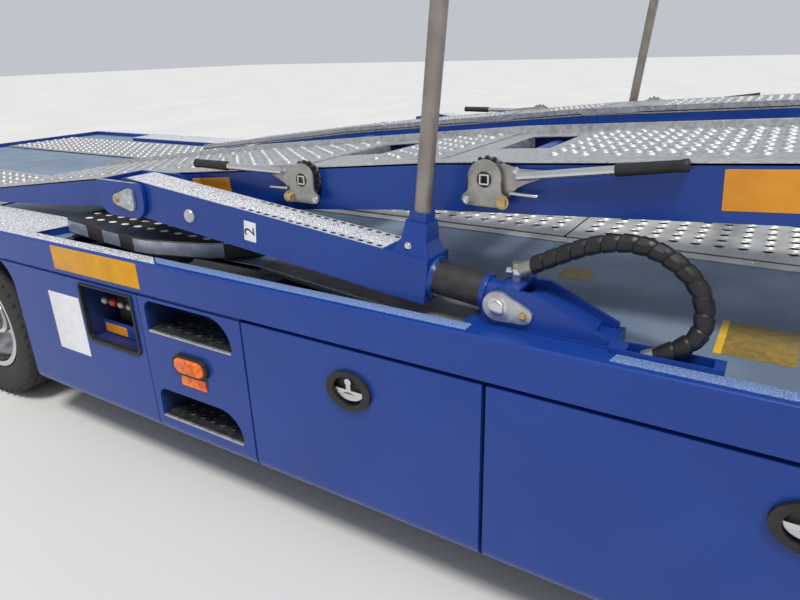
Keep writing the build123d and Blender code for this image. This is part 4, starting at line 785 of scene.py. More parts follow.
@dataclass
class DimpledSheet:
    """A deck sheet with rows of raised, open dimples for grip."""

    pitch_along: float = 0.040
    pitch_across: float = 0.076
    hole: float = 0.0122
    foot: float = 0.0184
    lip: float = 0.0060
    sheet: float = 0.004
    margin: float = 0.020
    staggered: bool = True

    def _cell(self) -> bpy.types.Object:
        """Model one dimple in its rectangle of sheet, open at its border.

        Returns:
            The finished piece.
        """
        nothing_selected()
        bpy.ops.mesh.primitive_circle_add(vertices=12, radius=self.hole, fill_type="NOTHING",
                                          location=(0, 0, self.lip))
        cell = settle(bpy.context.object)
        pick(cell)
        for _ in range(2):
            bpy.ops.object.mode_set(mode="OBJECT")
            newest = len(cell.data.vertices) - 12
            for vertex in cell.data.vertices:
                vertex.select = vertex.index >= newest
            for line in cell.data.edges:
                line.select = all(index >= newest for index in line.vertices)
            bpy.ops.object.mode_set(mode="EDIT")
            bpy.ops.mesh.extrude_edges_move()
        bpy.ops.object.mode_set(mode="OBJECT")
        half_u, half_v = self.pitch_along / 2, self.pitch_across / 2
        border = ((half_u, 0), (half_u, half_v / 2), (half_u, half_v), (0, half_v), (-half_u, half_v),
                  (-half_u, half_v / 2), (-half_u, 0), (-half_u, -half_v / 2), (-half_u, -half_v),
                  (0, -half_v), (half_u, -half_v), (half_u, -half_v / 2))
        points = cell.data.vertices
        ways = sorted(range(12), key=lambda index: math.atan2(points[index].co.y,
                                                              points[index].co.x) % math.tau)
        starts = [points[index].co.copy() for index in ways]
        for level in (1, 2):
            for vertex in list(points)[12 * level:12 * (level + 1)]:
                spot = min(range(12), key=lambda index: (starts[index].xy - vertex.co.xy).length)
                if level == 1:
                    flat = starts[spot].xy.normalized() * self.foot
                    vertex.co = (flat.x, flat.y, 0)
                else:
                    vertex.co = (*border[spot], 0)
        return cell

    def _filler(self, start: float) -> bpy.types.Object:
        """Model the half cell that squares off a staggered column.

        Args:
            start: Where the half cell begins.

        Returns:
            The finished piece.
        """
        nothing_selected()
        bpy.ops.mesh.primitive_grid_add(x_subdivisions=2, y_subdivisions=2, size=1.0,
                                        location=(0, start + self.pitch_across / 4, 0))
        piece = bpy.context.object
        piece.scale = (self.pitch_along, self.pitch_across / 2, 1)
        return settle(piece)

    def run(self, length: float, width: float) -> bpy.types.Object:
        """Model a whole sheet with its near corner at the origin, u along X and v along Y.

        Args:
            length: The sheet's length along X.
            width: The sheet's width along Y.

        Returns:
            The sheet, with its top at Z 0 apart from the dimples.
        """
        shift = self.pitch_across / 2 if self.staggered else 0.0
        across = int((width - 2 * self.margin - shift) / self.pitch_across + 1e-6)
        pair = self.pitch_along * (2 if self.staggered else 1)
        along = int((length - 2 * self.margin) / pair + 1e-6)
        first = (width - shift - across * self.pitch_across) / 2
        lead = (length - along * pair) / 2
        column = applied(self._cell(), "ARRAY", count=across, use_relative_offset=False,
                         use_constant_offset=True, constant_offset_displace=(0, self.pitch_across, 0))
        placed(column, Matrix.Translation((lead + self.pitch_along / 2, first + self.pitch_across / 2, 0)))
        if self.staggered:
            twin = copied(column, Matrix.Translation((self.pitch_along, shift, 0)))
            top = placed(self._filler(first + across * self.pitch_across),
                         Matrix.Translation((lead + self.pitch_along / 2, 0, 0)))
            low = placed(self._filler(first), Matrix.Translation((lead + self.pitch_along * 1.5, 0, 0)))
            column = joined([column, twin, top, low])
        sheet = applied(column, "ARRAY", count=along, use_relative_offset=False, use_constant_offset=True,
                        constant_offset_displace=(pair, 0, 0))
        tidied(sheet)
        last = first + across * self.pitch_across + shift
        for vertex in sheet.data.vertices:
            if abs(vertex.co.y - first) < 1e-4:
                vertex.co.y = 0
            elif abs(vertex.co.y - last) < 1e-4:
                vertex.co.y = width
            if abs(vertex.co.x - lead) < 1e-4:
                vertex.co.x = 0
            elif abs(vertex.co.x - (length - lead)) < 1e-4:
                vertex.co.x = length
        applied(sheet, "SOLIDIFY", thickness=self.sheet, offset=-1)
        return smoothed(sheet, 30)

    def laid(self, start: Solid, end: Solid, width: float) -> bpy.types.Object:
        """Lay a sheet between two points of its near edge, which climb or drop along X.

        Args:
            start: One end.
            end: The other end.
            width: The sheet's width.

        Returns:
            The finished piece.
        """
        first, last = Vector(start), Vector(end)
        slope = math.atan2(last.z - first.z, last.x - first.x)
        piece = self.run((last - first).length, width)
        return placed(piece, Matrix.Translation(first) @ Matrix.Rotation(-slope, 4, "Y"))


LARGE_DIMPLES = DimpledSheet(0.074, 0.078, 0.0170, 0.0250, 0.0080, 0.004, 0.020, False)


@dataclass
class Platform:
    """The tilting platform: its dimpled tracks, wheel wells, edge lips and ribs; its strap ratchets are
    built by StrapRatchets.
    """

    line: tuple[Flat, ...] = ((-3.600, 0.968), (-2.400, 1.122), (-1.150, 1.245), (2.440, 1.466))
    inner: float = 0.350
    outer: float = 0.960
    wells: tuple[Flat, ...] = ((-1.650, -1.470), (-1.072, -0.905))
    well_inner: float = 0.450
    well_outer: float = 0.745
    eye: Flat = (-2.250, 1.090)
    cheek_face: float = 1.211
    cheek_top: float = 1.141
    cleats: int = 14
    cleat_pitch: float = 0.075
    plates: tuple[tuple[float, float, float, float], ...] = (
        (-0.324, 1.2385, 0.110, 3.5), (-2.021, 1.094, 0.092, 5.6))

    def height(self, x: float) -> float:
        """The height of the platform's running surface at one X.

        Args:
            x: The place along the trailer.

        Returns:
            The height.
        """
        for (x0, z0), (x1, z1) in zip(self.line, self.line[1:]):
            if x <= x1:
                return z0 + (z1 - z0) * (x - x0) / (x1 - x0)
        return self.line[-1][1]

    def _sloped(self, start: float, end: float, low: Solid, high: Solid) -> bpy.types.Object:
        """Model a plain block on the running surface, with its corners measured along and up from start.

        Args:
            start: Where the block's own measures begin.
            end: Where the slope under it ends.
            low: Its lowest corner.
            high: Its highest corner.

        Returns:
            The finished piece.
        """
        slope = math.atan2(self.height(end) - self.height(start), end - start)
        place = Matrix.Translation((start, 0, self.height(start))) @ Matrix.Rotation(-slope, 4, "Y")
        return placed(block(low, high, 0.001), place)

    def _tracks(self, side: int) -> bpy.types.Object:
        """Lay one side's dimpled sheets, with the plain plates round its wheel wells.

        Args:
            side: RIGHT or LEFT.

        Returns:
            The finished piece.
        """
        near = self.inner if side == LEFT else -self.outer
        width = self.outer - self.inner
        tail, kink, crest, front = (x for x, _ in self.line)
        (rear_start, rear_end), (front_start, front_end) = self.wells
        sheets = []
        for start, end in ((tail, kink), (kink, rear_start), (rear_end, crest), (front_end, front)):
            sheets.append(DimpledSheet().laid((start, near, self.height(start)),
                                              (end, near, self.height(end)), width))
        sheets.append(self._sloped(crest, front_start, (0, near, -0.004),
                                   (front_start - crest, near + width, 0)))
        for start, end in self.wells:
            length = math.hypot(end - start, self.height(end) - self.height(start))
            for low, high in ((self.inner, self.well_inner), (self.well_outer, self.outer)):
                sheets.append(self._sloped(start, end, (0, side * low, -0.004), (length, side * high, 0)))
            for place in (0.0, length):
                sheets.append(self._sloped(start, end, (place - 0.004, side * self.well_inner, -0.034),
                                           (place + 0.004, side * self.well_outer, 0.0012)))
        return joined(sheets)

    def build(self) -> None:
        """Model both tracks and what stands on them."""
        for side in (RIGHT, LEFT):
            name = SIDE_NAMES[side]
            replaced = ("platform_tracks",) if side == RIGHT else ()
            dressed(self._tracks(side), f"dimpled_track_{name}", "platform", ZINC, replaced)
        on_both_sides(self._lips, "track_lip", "platform", ZINC)
        cleats = self._ribs()
        dressed(mirrored(cleats), "track_cleats_left", "platform", CHROME)
        bpy.data.objects.remove(cleats)
        for make, name, finish in (
                (self._eye_keeper, "eye_keeper", ZINC), (self._eye_bolt, "eye_bolt", PASSIVATED),
                (self._eye_stud, "eye_stud", CHROME), (self._cheek_edge, "cheek_edge", ZINC),
                (self._plates, "beam_plates", ORANGE_PLATE)):
            on_both_sides(make, name, "platform", finish)

    def _lips(self) -> bpy.types.Object:
        """Model the folded lip along the track's inner edge and its pressed outer edge.

        Returns:
            The finished piece.
        """
        strips = []
        for (x0, z0), (x1, z1) in zip(self.line, self.line[1:]):
            slope = Matrix.Rotation(-math.atan2(z1 - z0, x1 - x0), 4, "Y")
            for y, half, rise in ((-self.inner - 0.004, 0.004, 0.026),
                                  (-self.outer - 0.029, 0.031, 0.0035)):
                strip = block((0, y - half, -0.006), (math.hypot(x1 - x0, z1 - z0), y + half, rise), 0.0012)
                strips.append(placed(strip, Matrix.Translation((x0, 0, z0)) @ slope))
        return joined(strips)

    def _eye_keeper(self) -> bpy.types.Object:
        """Cut the rounded triangular keeper plate over the lift pin.

        Returns:
            The finished piece.
        """
        outline = hull_outline(((-0.033, -0.011, 0.0185), (0.037, 0.012, 0.0205), (0.037, -0.024, 0.0205)))
        place = facing((self.eye[0], -self.cheek_face + 0.0005, self.eye[1]))
        return cut_plate([outline], 0.0095, place, 0.0018)

    def _eye_bolt(self) -> bpy.types.Object:
        """Model the keeper's bolt."""
        place = facing((self.eye[0] - 0.033, -self.cheek_face - 0.0088, self.eye[1] - 0.010))
        return HexBolt(0.017, 0.005).model(place)

    def _eye_stud(self) -> bpy.types.Object:
        """Model the flush stud at the keeper's wide end."""
        spot = (self.eye[0] + 0.036, -self.cheek_face - 0.0084, self.eye[1] - 0.014)
        return rod(spot, (spot[0], spot[1] - 0.0020, spot[2]), 0.0085, 20, edge=0.0006)

    def _cheek_edge(self) -> bpy.types.Object:
        """Model the bright worn edge on top of the bracket's outer cheek."""
        return block((-2.388, -self.cheek_face - 0.0004, self.cheek_top - 0.0005),
                     (-2.184, -self.cheek_face + 0.0110, self.cheek_top + 0.0012), 0.0004)

    def _plates(self) -> bpy.types.Object:
        """Cut the blank orange plates on the beam's outer face.

        Returns:
            The finished piece.
        """
        plates = []
        for x, z, half, lean in self.plates:
            outline = rounded((-half, half), (-0.045, 0.045), (0.003,) * 4)
            place = facing((x, -self.outer - 0.0598, z), RIGHT, lean)
            plates.append(cut_plate([outline], 0.0012, place, 0.0003))
        return joined(plates)

    def _ribs(self) -> bpy.types.Object:
        """Model the cleats across the track's tail, where tyres climb on.

        Returns:
            The finished piece.
        """
        cleats = []
        for step in range(self.cleats):
            x = self.line[0][0] + 0.06 + step * self.cleat_pitch
            z = self.height(x)
            low = (x - 0.006, -self.outer + 0.03, z - 0.002)
            cleats.append(block(low, (x + 0.006, -self.inner - 0.03, z + 0.012), 0.002))
        return joined(cleats)


@dataclass
class StrapRatchets:
    """The winding ratchets on the platform's side beams."""

    places: tuple[tuple[float, int, float, float, float], ...] = (
        (-0.978, 1, 0.046, 0.021, 0.074), (-1.584, -1, 0.041, 0.029, 0.030))
    face: float = 1.020
    plate: float = 0.008
    foot: float = 0.084
    grip: float = 0.320
    length: float = 0.470
    bolts: tuple[tuple[str, float, float, float], ...] = (
        ("bolt", 0.051, -0.044, 0.026), ("handle", -0.052, -0.046, 0.015), ("handle", 0.078, 0.034, 0.014))

    def _plate(self, x: float, z: float, way: int) -> bpy.types.Object:
        """Cut the fixed side plate: a round head over a wide foot.

        Args:
            x: Its place along the trailer.
            z: Its height.
            way: 1 where the handle points forwards, -1 where it points backwards.

        Returns:
            The finished piece.
        """
        outline = (arc((0, 0.014), 0.046, -15, 195, 18)
                   + [(-0.046, -0.020), (-0.062, -0.036), (-0.062, -0.048), (-0.050, -0.060),
                      (0.056, -0.060), (0.066, -0.050), (0.066, -0.036), (0.048, -0.022)])
        outline = [(way * u, v) for u, v in outline][::way]
        hole = ring(0.0205, (0, 0.010), 24)
        return cut_plate([outline, hole], self.plate, facing((x, -self.face - 0.030, z)), 0.0012)

    def build(self, platform: Platform) -> None:
        """Model every ratchet of both sides.

        Args:
            platform: Gives the height of the beams' top line.
        """
        parts: dict[str, list[bpy.types.Object]] = {"plate": [], "handle": [], "grip": [], "bolt": [],
                                                    "drum": []}
        for x, way, drop, foot_rise, grip_rise in self.places:
            z = platform.height(x) - drop
            lift = (grip_rise - foot_rise) / (self.length - self.foot)
            parts["plate"].append(self._plate(x, z, way))
            place = facing((x, -self.face - 0.002, z))
            parts["plate"].append(cut_plate([ring(0.052, (way * 0.002, 0.012), 28)], 0.005, place, 0.001))
            parts["plate"].append(self._yoke(x, z, way, foot_rise, lift))
            parts["drum"].append(self._socket(x, z))
            parts["drum"].append(self._gear(x, z))
            foot, grip, end = ((x + way * reach, -self.face - 0.0245,
                                z + foot_rise + lift * (reach - self.foot))
                               for reach in (self.foot, self.grip, self.length))
            parts["handle"].append(rod(foot, end, 0.0113, 24))
            parts["grip"].append(self._grip(grip, end))
            pawl = (x + way * 0.066, -self.face - 0.026, z - 0.022)
            tip = (x + way * 0.140, pawl[1], z - 0.024)
            parts["handle"].append(rod(pawl, tip, 0.0048, 14, edge=0.0015))
            for key, reach, v, size in self.bolts:
                face = -self.face - (0.038 if v < 0 else 0.0160)
                parts[key].append(HexBolt(size, size * 0.4).model(facing((x + way * reach, face, z + v))))
            frame = [rounded((-half, half), (0.010 - half, 0.010 + half), (0.002,) * 4)
                     for half in (0.0135, 0.0098)]
            parts["handle"].append(cut_plate(frame, 0.0370, place, 0.0006))
        for key, finish in (("plate", BARE_STEEL), ("handle", CHROME), ("grip", RUBBER_SEAL),
                            ("bolt", PASSIVATED), ("drum", BLACK_METAL)):
            right = joined(parts[key])
            left = mirrored(right)
            dressed(right, f"ratchet_{key}_right", "platform", finish,
                    ("strap_ratchets",) if key == "plate" else ())
            dressed(left, f"ratchet_{key}_left", "platform", finish)

    def _yoke(self, x: float, z: float, way: int, foot_rise: float, lift: float) -> bpy.types.Object:
        """Cut the swinging yoke that carries the handle's tube.

        Args:
            x: Its place along the trailer.
            z: Its height.
            way: 1 where the handle points forwards, -1 where it points backwards.
            foot_rise: The tube's foot above the drum.
            lift: The tube's climb for its run.

        Returns:
            The finished piece.
        """
        end = foot_rise + lift * 0.066
        corners = ((0.000, 0.046), (0.040, 0.050), (0.084, foot_rise + 0.018), (0.150, end + 0.010),
                   (0.152, end - 0.008), (0.110, end - 0.024), (0.084, -0.008), (0.062, -0.034),
                   (0.020, -0.030), (0.000, -0.022))
        outline = [(way * u, v) for u, v in corners]
        return cut_plate([outline[::way]], 0.010, facing((x, -self.face - 0.011, z)), 0.001)

    def _socket(self, x: float, z: float) -> bpy.types.Object:
        """Cut the square drive socket in the middle of the drum.

        Args:
            x: Its place along the trailer.
            z: Its height.

        Returns:
            The finished piece.
        """
        outer = ring(0.019, (0, 0.010), 24)
        square = rounded((-0.010, 0.010), (0.0, 0.020), (0.002,) * 4)
        return cut_plate([outer, square], 0.036, facing((x, -self.face - 0.002, z)), 0.0008)

    def _gear(self, x: float, z: float) -> bpy.types.Object:
        """Cut the toothed wheel behind the side plate.

        Args:
            x: Its place along the trailer.
            z: Its height.

        Returns:
            The finished piece.
        """
        teeth = 16
        outline: list[Flat] = []
        for tooth in range(teeth):
            turn = tooth * 360 / teeth
            outline += arc((0, 0.010), 0.057, turn, turn + 6, 1)
            outline += arc((0, 0.010), 0.046, turn + 10, turn + 19, 1)
        return cut_plate([outline], 0.009, facing((x, -self.face - 0.010, z)))

    def _grip(self, start: Solid, end: Solid) -> bpy.types.Object:
        """Turn the moulded grip with its end flange.

        Args:
            start: The grip's inner end.
            end: The grip's outer end.

        Returns:
            The finished piece.
        """
        run = Vector(end) - Vector(start)
        length = run.length + 0.004
        rows = [(0, 0.0106), (0, 0.0135), (0.003, 0.0150), (length - 0.016, 0.0138),
                (length - 0.012, 0.0150), (length - 0.003, 0.0150), (length, 0.0130), (length, 0.0)]
        return turned(rows, start, tuple(run.normalized()), 24)


@dataclass
class SideSill:
    """Grit strips along the sills, with the yellow plates on their outer bands."""

    top: float = 0.890
    face: float = 1.275
    white: tuple[tuple[Flat, ...], ...] = (
        ((-6.030, -1.262), (-5.256, -1.262), (-5.256, -1.220), (-6.030, -1.220)),
        ((-5.242, -1.268), (-2.070, -1.268), (-2.140, -1.220), (-2.862, -1.220), (-2.822, -1.008),
         (-5.242, -1.008)))
    # The pale strips continue the white tape forwards; their pale blue is painted shade.
    pale: tuple[tuple[Flat, ...], ...] = (
        ((-2.132, -1.217), (-2.076, -1.257), (-0.930, -1.257), (-0.930, -1.217)),
        ((-0.583, -1.257), (2.430, -1.257), (2.430, -1.217), (-0.576, -1.217)))
    deck_top: float = 0.860
    plate_inner: float = -0.965
    screws: tuple[Flat, ...] = ((-1.659, -1.038), (-1.257, -1.131))
    notice_x: Flat = (-2.672, -2.165)
    notice_z: Flat = (0.786, 0.880)
    deck_cut: tuple[Flat, ...] = ((-2.780, -1.000), (-2.030, -1.060), (-1.800, -1.060), (-1.167, -1.172),
                                  (-0.960, -1.172))

    def _strips(self, outlines: Sequence[Sequence[Flat]]) -> bpy.types.Object:
        """Lay strips of grit tape on the right-hand sill."""
        place = Matrix.Translation((0, 0, self.top - 0.0002))
        return joined([cut_plate([outline], 0.0018, place, 0.0004) for outline in outlines])

    def _cut_edge(self) -> bpy.types.Object:
        """Lay the bright edge along the floor where it is cut back beside the sill.

        Returns:
            The finished piece.
        """
        inner = [(x, y + 0.007) for x, y in reversed(self.deck_cut)]
        place = Matrix.Translation((0, 0, self.deck_top - 0.0138))
        return cut_plate([[*self.deck_cut, *inner]], 0.0160, place, 0.0008)

    def _side_plate(self) -> bpy.types.Object:
        """Lay the grey plate that closes the floor's edge below the arm.

        Returns:
            The finished piece.
        """
        outer = [(x, y + 0.004) for x, y in self.deck_cut[2:]]
        outline = [*outer, (outer[-1][0], self.plate_inner), (outer[0][0], self.plate_inner)]
        return cut_plate([outline], 0.0014, Matrix.Translation((0, 0, self.deck_top - 0.0002)), 0.0003)

    def _side_screws(self) -> bpy.types.Object:
        """Turn the round heads of the side plate's screws.

        Returns:
            The finished piece.
        """
        profile = [(0, 0.0100), (0.002, 0.0095), (0.0045, 0.0060), (0.0055, 0)]
        foot = self.deck_top + 0.0004
        return joined([turned(profile, (x, y, foot), (0, 0, 1), 16) for x, y in self.screws])

    def _plate(self) -> bpy.types.Object:
        """Cut the blank yellow plate on the sill's band over the control window."""
        outline = rounded(self.notice_x, self.notice_z, (0.004,) * 4)
        return cut_plate([outline], 0.0014, facing((0, -self.face + 0.0002, 0)), 0.0004)

    def build(self) -> None:
        """Model the strips and plates of both sides."""
        for make, name, finish in (
                (lambda: self._strips(self.white), "sill_grit", GRIT),
                (lambda: self._strips(self.pale), "sill_pale_grit", SHADED_GRIT),
                (self._cut_edge, "deck_cut_edge", ZINC), (self._side_plate, "deck_side_plate", GREY_SIDE_PLATE),
                (self._side_screws, "deck_side_screws", BARE_STEEL),
                (self._plate, "sill_plate", YELLOW_PLATE)):
            on_both_sides(make, name, "trailer", finish)


@dataclass
class Skirt:
    """Fittings of the side skirts: window seal, valve knobs, step noses, lamps and blank label places."""

    face: float = 1.272
    window_x: Flat = (-2.540, -2.235)
    window_z: Flat = (0.517, 0.745)
    step_x: Flat = (-2.168, -1.752)
    steps: tuple[Flat, ...] = ((0.282, 0.402), (0.628, 0.748))
    lamp_x: tuple[float, ...] = (-5.700, -1.960, 1.600)
    lamp_z: float = 0.538
    reflector_z: float = 0.474
    levers: Solid = (-2.475, -1.220, 0.670)
    lever_pitch: float = 0.050
    lever_lean: Solid = (0, -0.86, 0.5)
    knob: tuple[Flat, ...] = ((-0.017, 0), (-0.016, 0.008), (-0.008, 0.0145), (0.002, 0.0155),
                              (0.011, 0.012), (0.017, 0.004), (0.018, 0))
    label_x: Flat = (-2.770, -2.567)
    label_z: Flat = (0.428, 0.678)
    cover: tuple[Solid, Solid] = ((-2.540, -1.2060, 0.520), (-2.245, -1.1990, 0.575))
    valve_label_x: Flat = (-2.530, -2.398)
    valve_label_z: Flat = (0.524, 0.562)

    def _seal(self) -> bpy.types.Object:
        """Cut the rubber seal round the control window.

        Returns:
            The finished piece.
        """
        (x0, x1), (z0, z1) = self.window_x, self.window_z
        outer = rounded((x0 - 0.005, x1 + 0.006), (z0 - 0.010, z1 + 0.004), (0.030, 0.030, 0.008, 0.008))
        inner = rounded((x0 + 0.003, x1 - 0.003), (z0 + 0.004, z1 - 0.003), (0.022, 0.022, 0.004, 0.004))
        return cut_plate([outer, inner], 0.018, facing((0, -self.face + 0.011, 0)), 0.002)

    def _noses(self) -> bpy.types.Object:
        """Fold the bright nose of each step.

        Returns:
            The finished piece.
        """
        return joined([block((self.step_x[0] + 0.006, -self.face - 0.003, low - 0.001),
                             (self.step_x[1] - 0.004, -self.face + 0.009, low + 0.007), 0.002)
                       for low, _ in self.steps])

    def _treads(self) -> bpy.types.Object:
        """Lay the punched tread of each step, in near-black steel that is painted shade of the step well.

        Returns:
            The finished piece.
        """
        tread = DimpledSheet(0.052, 0.050, 0.008, 0.013, 0.004, 0.003, 0.006, False)
        return joined([tread.laid((self.step_x[0] + 0.004, -self.face + 0.011, low + 0.0045),
                                  (self.step_x[1] - 0.004, -self.face + 0.011, low + 0.0045), 0.135)
                       for low, _ in self.steps])

    def _grommets(self) -> bpy.types.Object:
        """Turn a moulded grommet round each side lamp.

        Returns:
            The finished piece.
        """
        outlines = [stadium(0.047, 0.0385), stadium(0.044, 0.029)]
        return joined([cut_plate(outlines, 0.016, facing((x, -self.face + 0.0002, self.lamp_z)), 0.003)
                       for x in self.lamp_x])

    def _lenses(self) -> bpy.types.Object:
        """Model the domed side lamp lenses.

        Returns:
            The finished piece.
        """
        outline = stadium(0.044, 0.0285)
        return joined([cut_plate([outline], 0.019, facing((x, -self.face + 0.0002, self.lamp_z)), 0.007)
                       for x in self.lamp_x])

    def _reflectors(self) -> bpy.types.Object:
        """Model the small reflectors below the side lamps.

        Returns:
            The finished piece.
        """
        outline = rounded((-0.053, 0.053), (-0.020, 0.010), (0.004,) * 4)
        places = [facing((x, -self.face + 0.0002, self.reflector_z)) for x in self.lamp_x]
        return joined([cut_plate([outline], 0.006, place, 0.0012) for place in places])

    def _labels(self) -> bpy.types.Object:
        """Cut the blank white label behind the control window."""
        outline = rounded(self.label_x, self.label_z, (0.002,) * 4)
        return cut_plate([outline], 0.0008, facing((0, -self.face + 0.0002, 0)), 0.0002)

    def _knobs(self, places: Sequence[int]) -> bpy.types.Object:
        """Turn the ball knobs on some of the valve levers.

        Args:
            places: The levers that get a knob, counted from the rear.

        Returns:
            The finished piece.
        """
        x, y, z = self.levers
        return joined([turned(list(self.knob), (x + count * self.lever_pitch, y, z), self.lever_lean, 20)
                       for count in places])

    def _valve_cover(self) -> bpy.types.Object:
        """Fold the blue cover over the pipes below the valve levers."""
        return block(*self.cover, 0.002)

    def _valve_label(self) -> bpy.types.Object:
        """Cut the small blank orange label on the pipe cover."""
        outline = rounded(self.valve_label_x, self.valve_label_z, (0.003,) * 4)
        return cut_plate([outline], 0.001, facing((0, self.cover[0][1] + 0.0002, 0)), 0.0003)

    def build(self) -> None:
        """Model the fittings of both sides."""
        for make, name, finish in (
                (self._seal, "window_seal", RUBBER_SEAL), (self._noses, "step_noses", ZINC),
                (self._treads, "step_treads", SHADED_STEP_TREAD), (self._grommets, "lamp_grommets", RUBBER_SEAL),
                (self._lenses, "lamp_lenses", AMBER), (self._reflectors, "side_reflectors", REFLEX_GLOW),
                (self._labels, "skirt_label", WHITE_LABEL),
                (lambda: self._knobs((1,)), "valve_knob", KNOB_RED),
                (lambda: self._knobs((0, 2, 3)), "valve_knobs", BARE_STEEL),
                (self._valve_cover, "valve_pipe_cover", PAINT),
                (self._valve_label, "valve_label", ORANGE_PLATE)):
            on_both_sides(make, name, "trailer", finish)


@dataclass
class DoorLatch:
    """The folding T-handle latch in its oval bezel on each locker door."""

    doors: tuple[tuple[str, float, float], ...] = (("rear", -1.700, -0.870), ("front", -0.870, 0.550))
    face: float = 1.272
    height: float = 0.632
    paddle: Flat = (0.0515, 0.0325)
    slot_half: float = 0.021
    slot_edges: tuple[tuple[int, float, float], ...] = ((1, -0.0120, 0.0062), (-1, -0.0124, 0.0020))
    stem: tuple[Flat, Flat] = ((-0.0078, 0.0078), (-0.002, 0.0345))
    head_rise: float = 0.028

    def _bezel(self, x: float) -> bpy.types.Object:
        """Cut the black bezel: an oval that is wider than it is high.

        Args:
            x: Its place along the trailer.

        Returns:
            The finished piece.
        """
        outlines = [oval(0.077, 0.061), oval(0.052, 0.045)]
        return cut_plate(outlines, 0.013, facing((x, -self.face - 0.0002, self.height)), 0.004)

    def _dish(self, x: float) -> bpy.types.Object:
        """Cut the dark dish behind the handle.

        Args:
            x: Its place along the trailer.

        Returns:
            The finished piece.
        """
        place = facing((x, -self.face + 0.0095, self.height))
        return cut_plate([oval(0.054, 0.047)], 0.003, place, 0.0005)

    def _handle(self, x: float) -> bpy.types.Object:
        """Model the bright handle: a half-oval paddle with its thumb slot, hung from a round-headed stem.

        Args:
            x: Its place along the trailer.

        Returns:
            The finished piece.
        """
        wide, high = self.paddle
        turns = [math.pi * (1 + step / 24) for step in range(25)]
        paddle = [(wide * math.cos(turn), high * math.sin(turn) + 0.0016) for turn in turns]
        slot = []
        for way, foot, swell in self.slot_edges:
            for share in (way * step / 5 for step in range(-5, 6)):
                slot.append((self.slot_half * share, foot + swell * math.cos(math.pi * share / 2)))
        place = facing((x, -self.face + 0.0088, self.height))
        plate = cut_plate([paddle, slot], 0.0150, place, 0.0012)
        stem = cut_plate([rounded(*self.stem, (0.002,) * 4)], 0.0154, place, 0.0015)
        level = self.height + self.head_rise
        head = rod((x, -self.face + 0.006, level), (x, -self.face - 0.0085, level), 0.0115, 24, edge=0.0016)
        return joined([plate, stem, head])

    def build(self) -> None:
        """Model the latch of every door."""
        for name, start, end in self.doors:
            middle = (start + end) / 2
            body = f"locker_door_{name}_" + "{side}"
            on_both_sides(lambda: self._bezel(middle), f"latch_bezel_{name}", body, RUBBER_SEAL)
            on_both_sides(lambda: self._dish(middle), f"latch_dish_{name}", body, BLACK_INK_AND_SHADE)
            on_both_sides(lambda: self._handle(middle), f"latch_handle_{name}", body, CHROME)


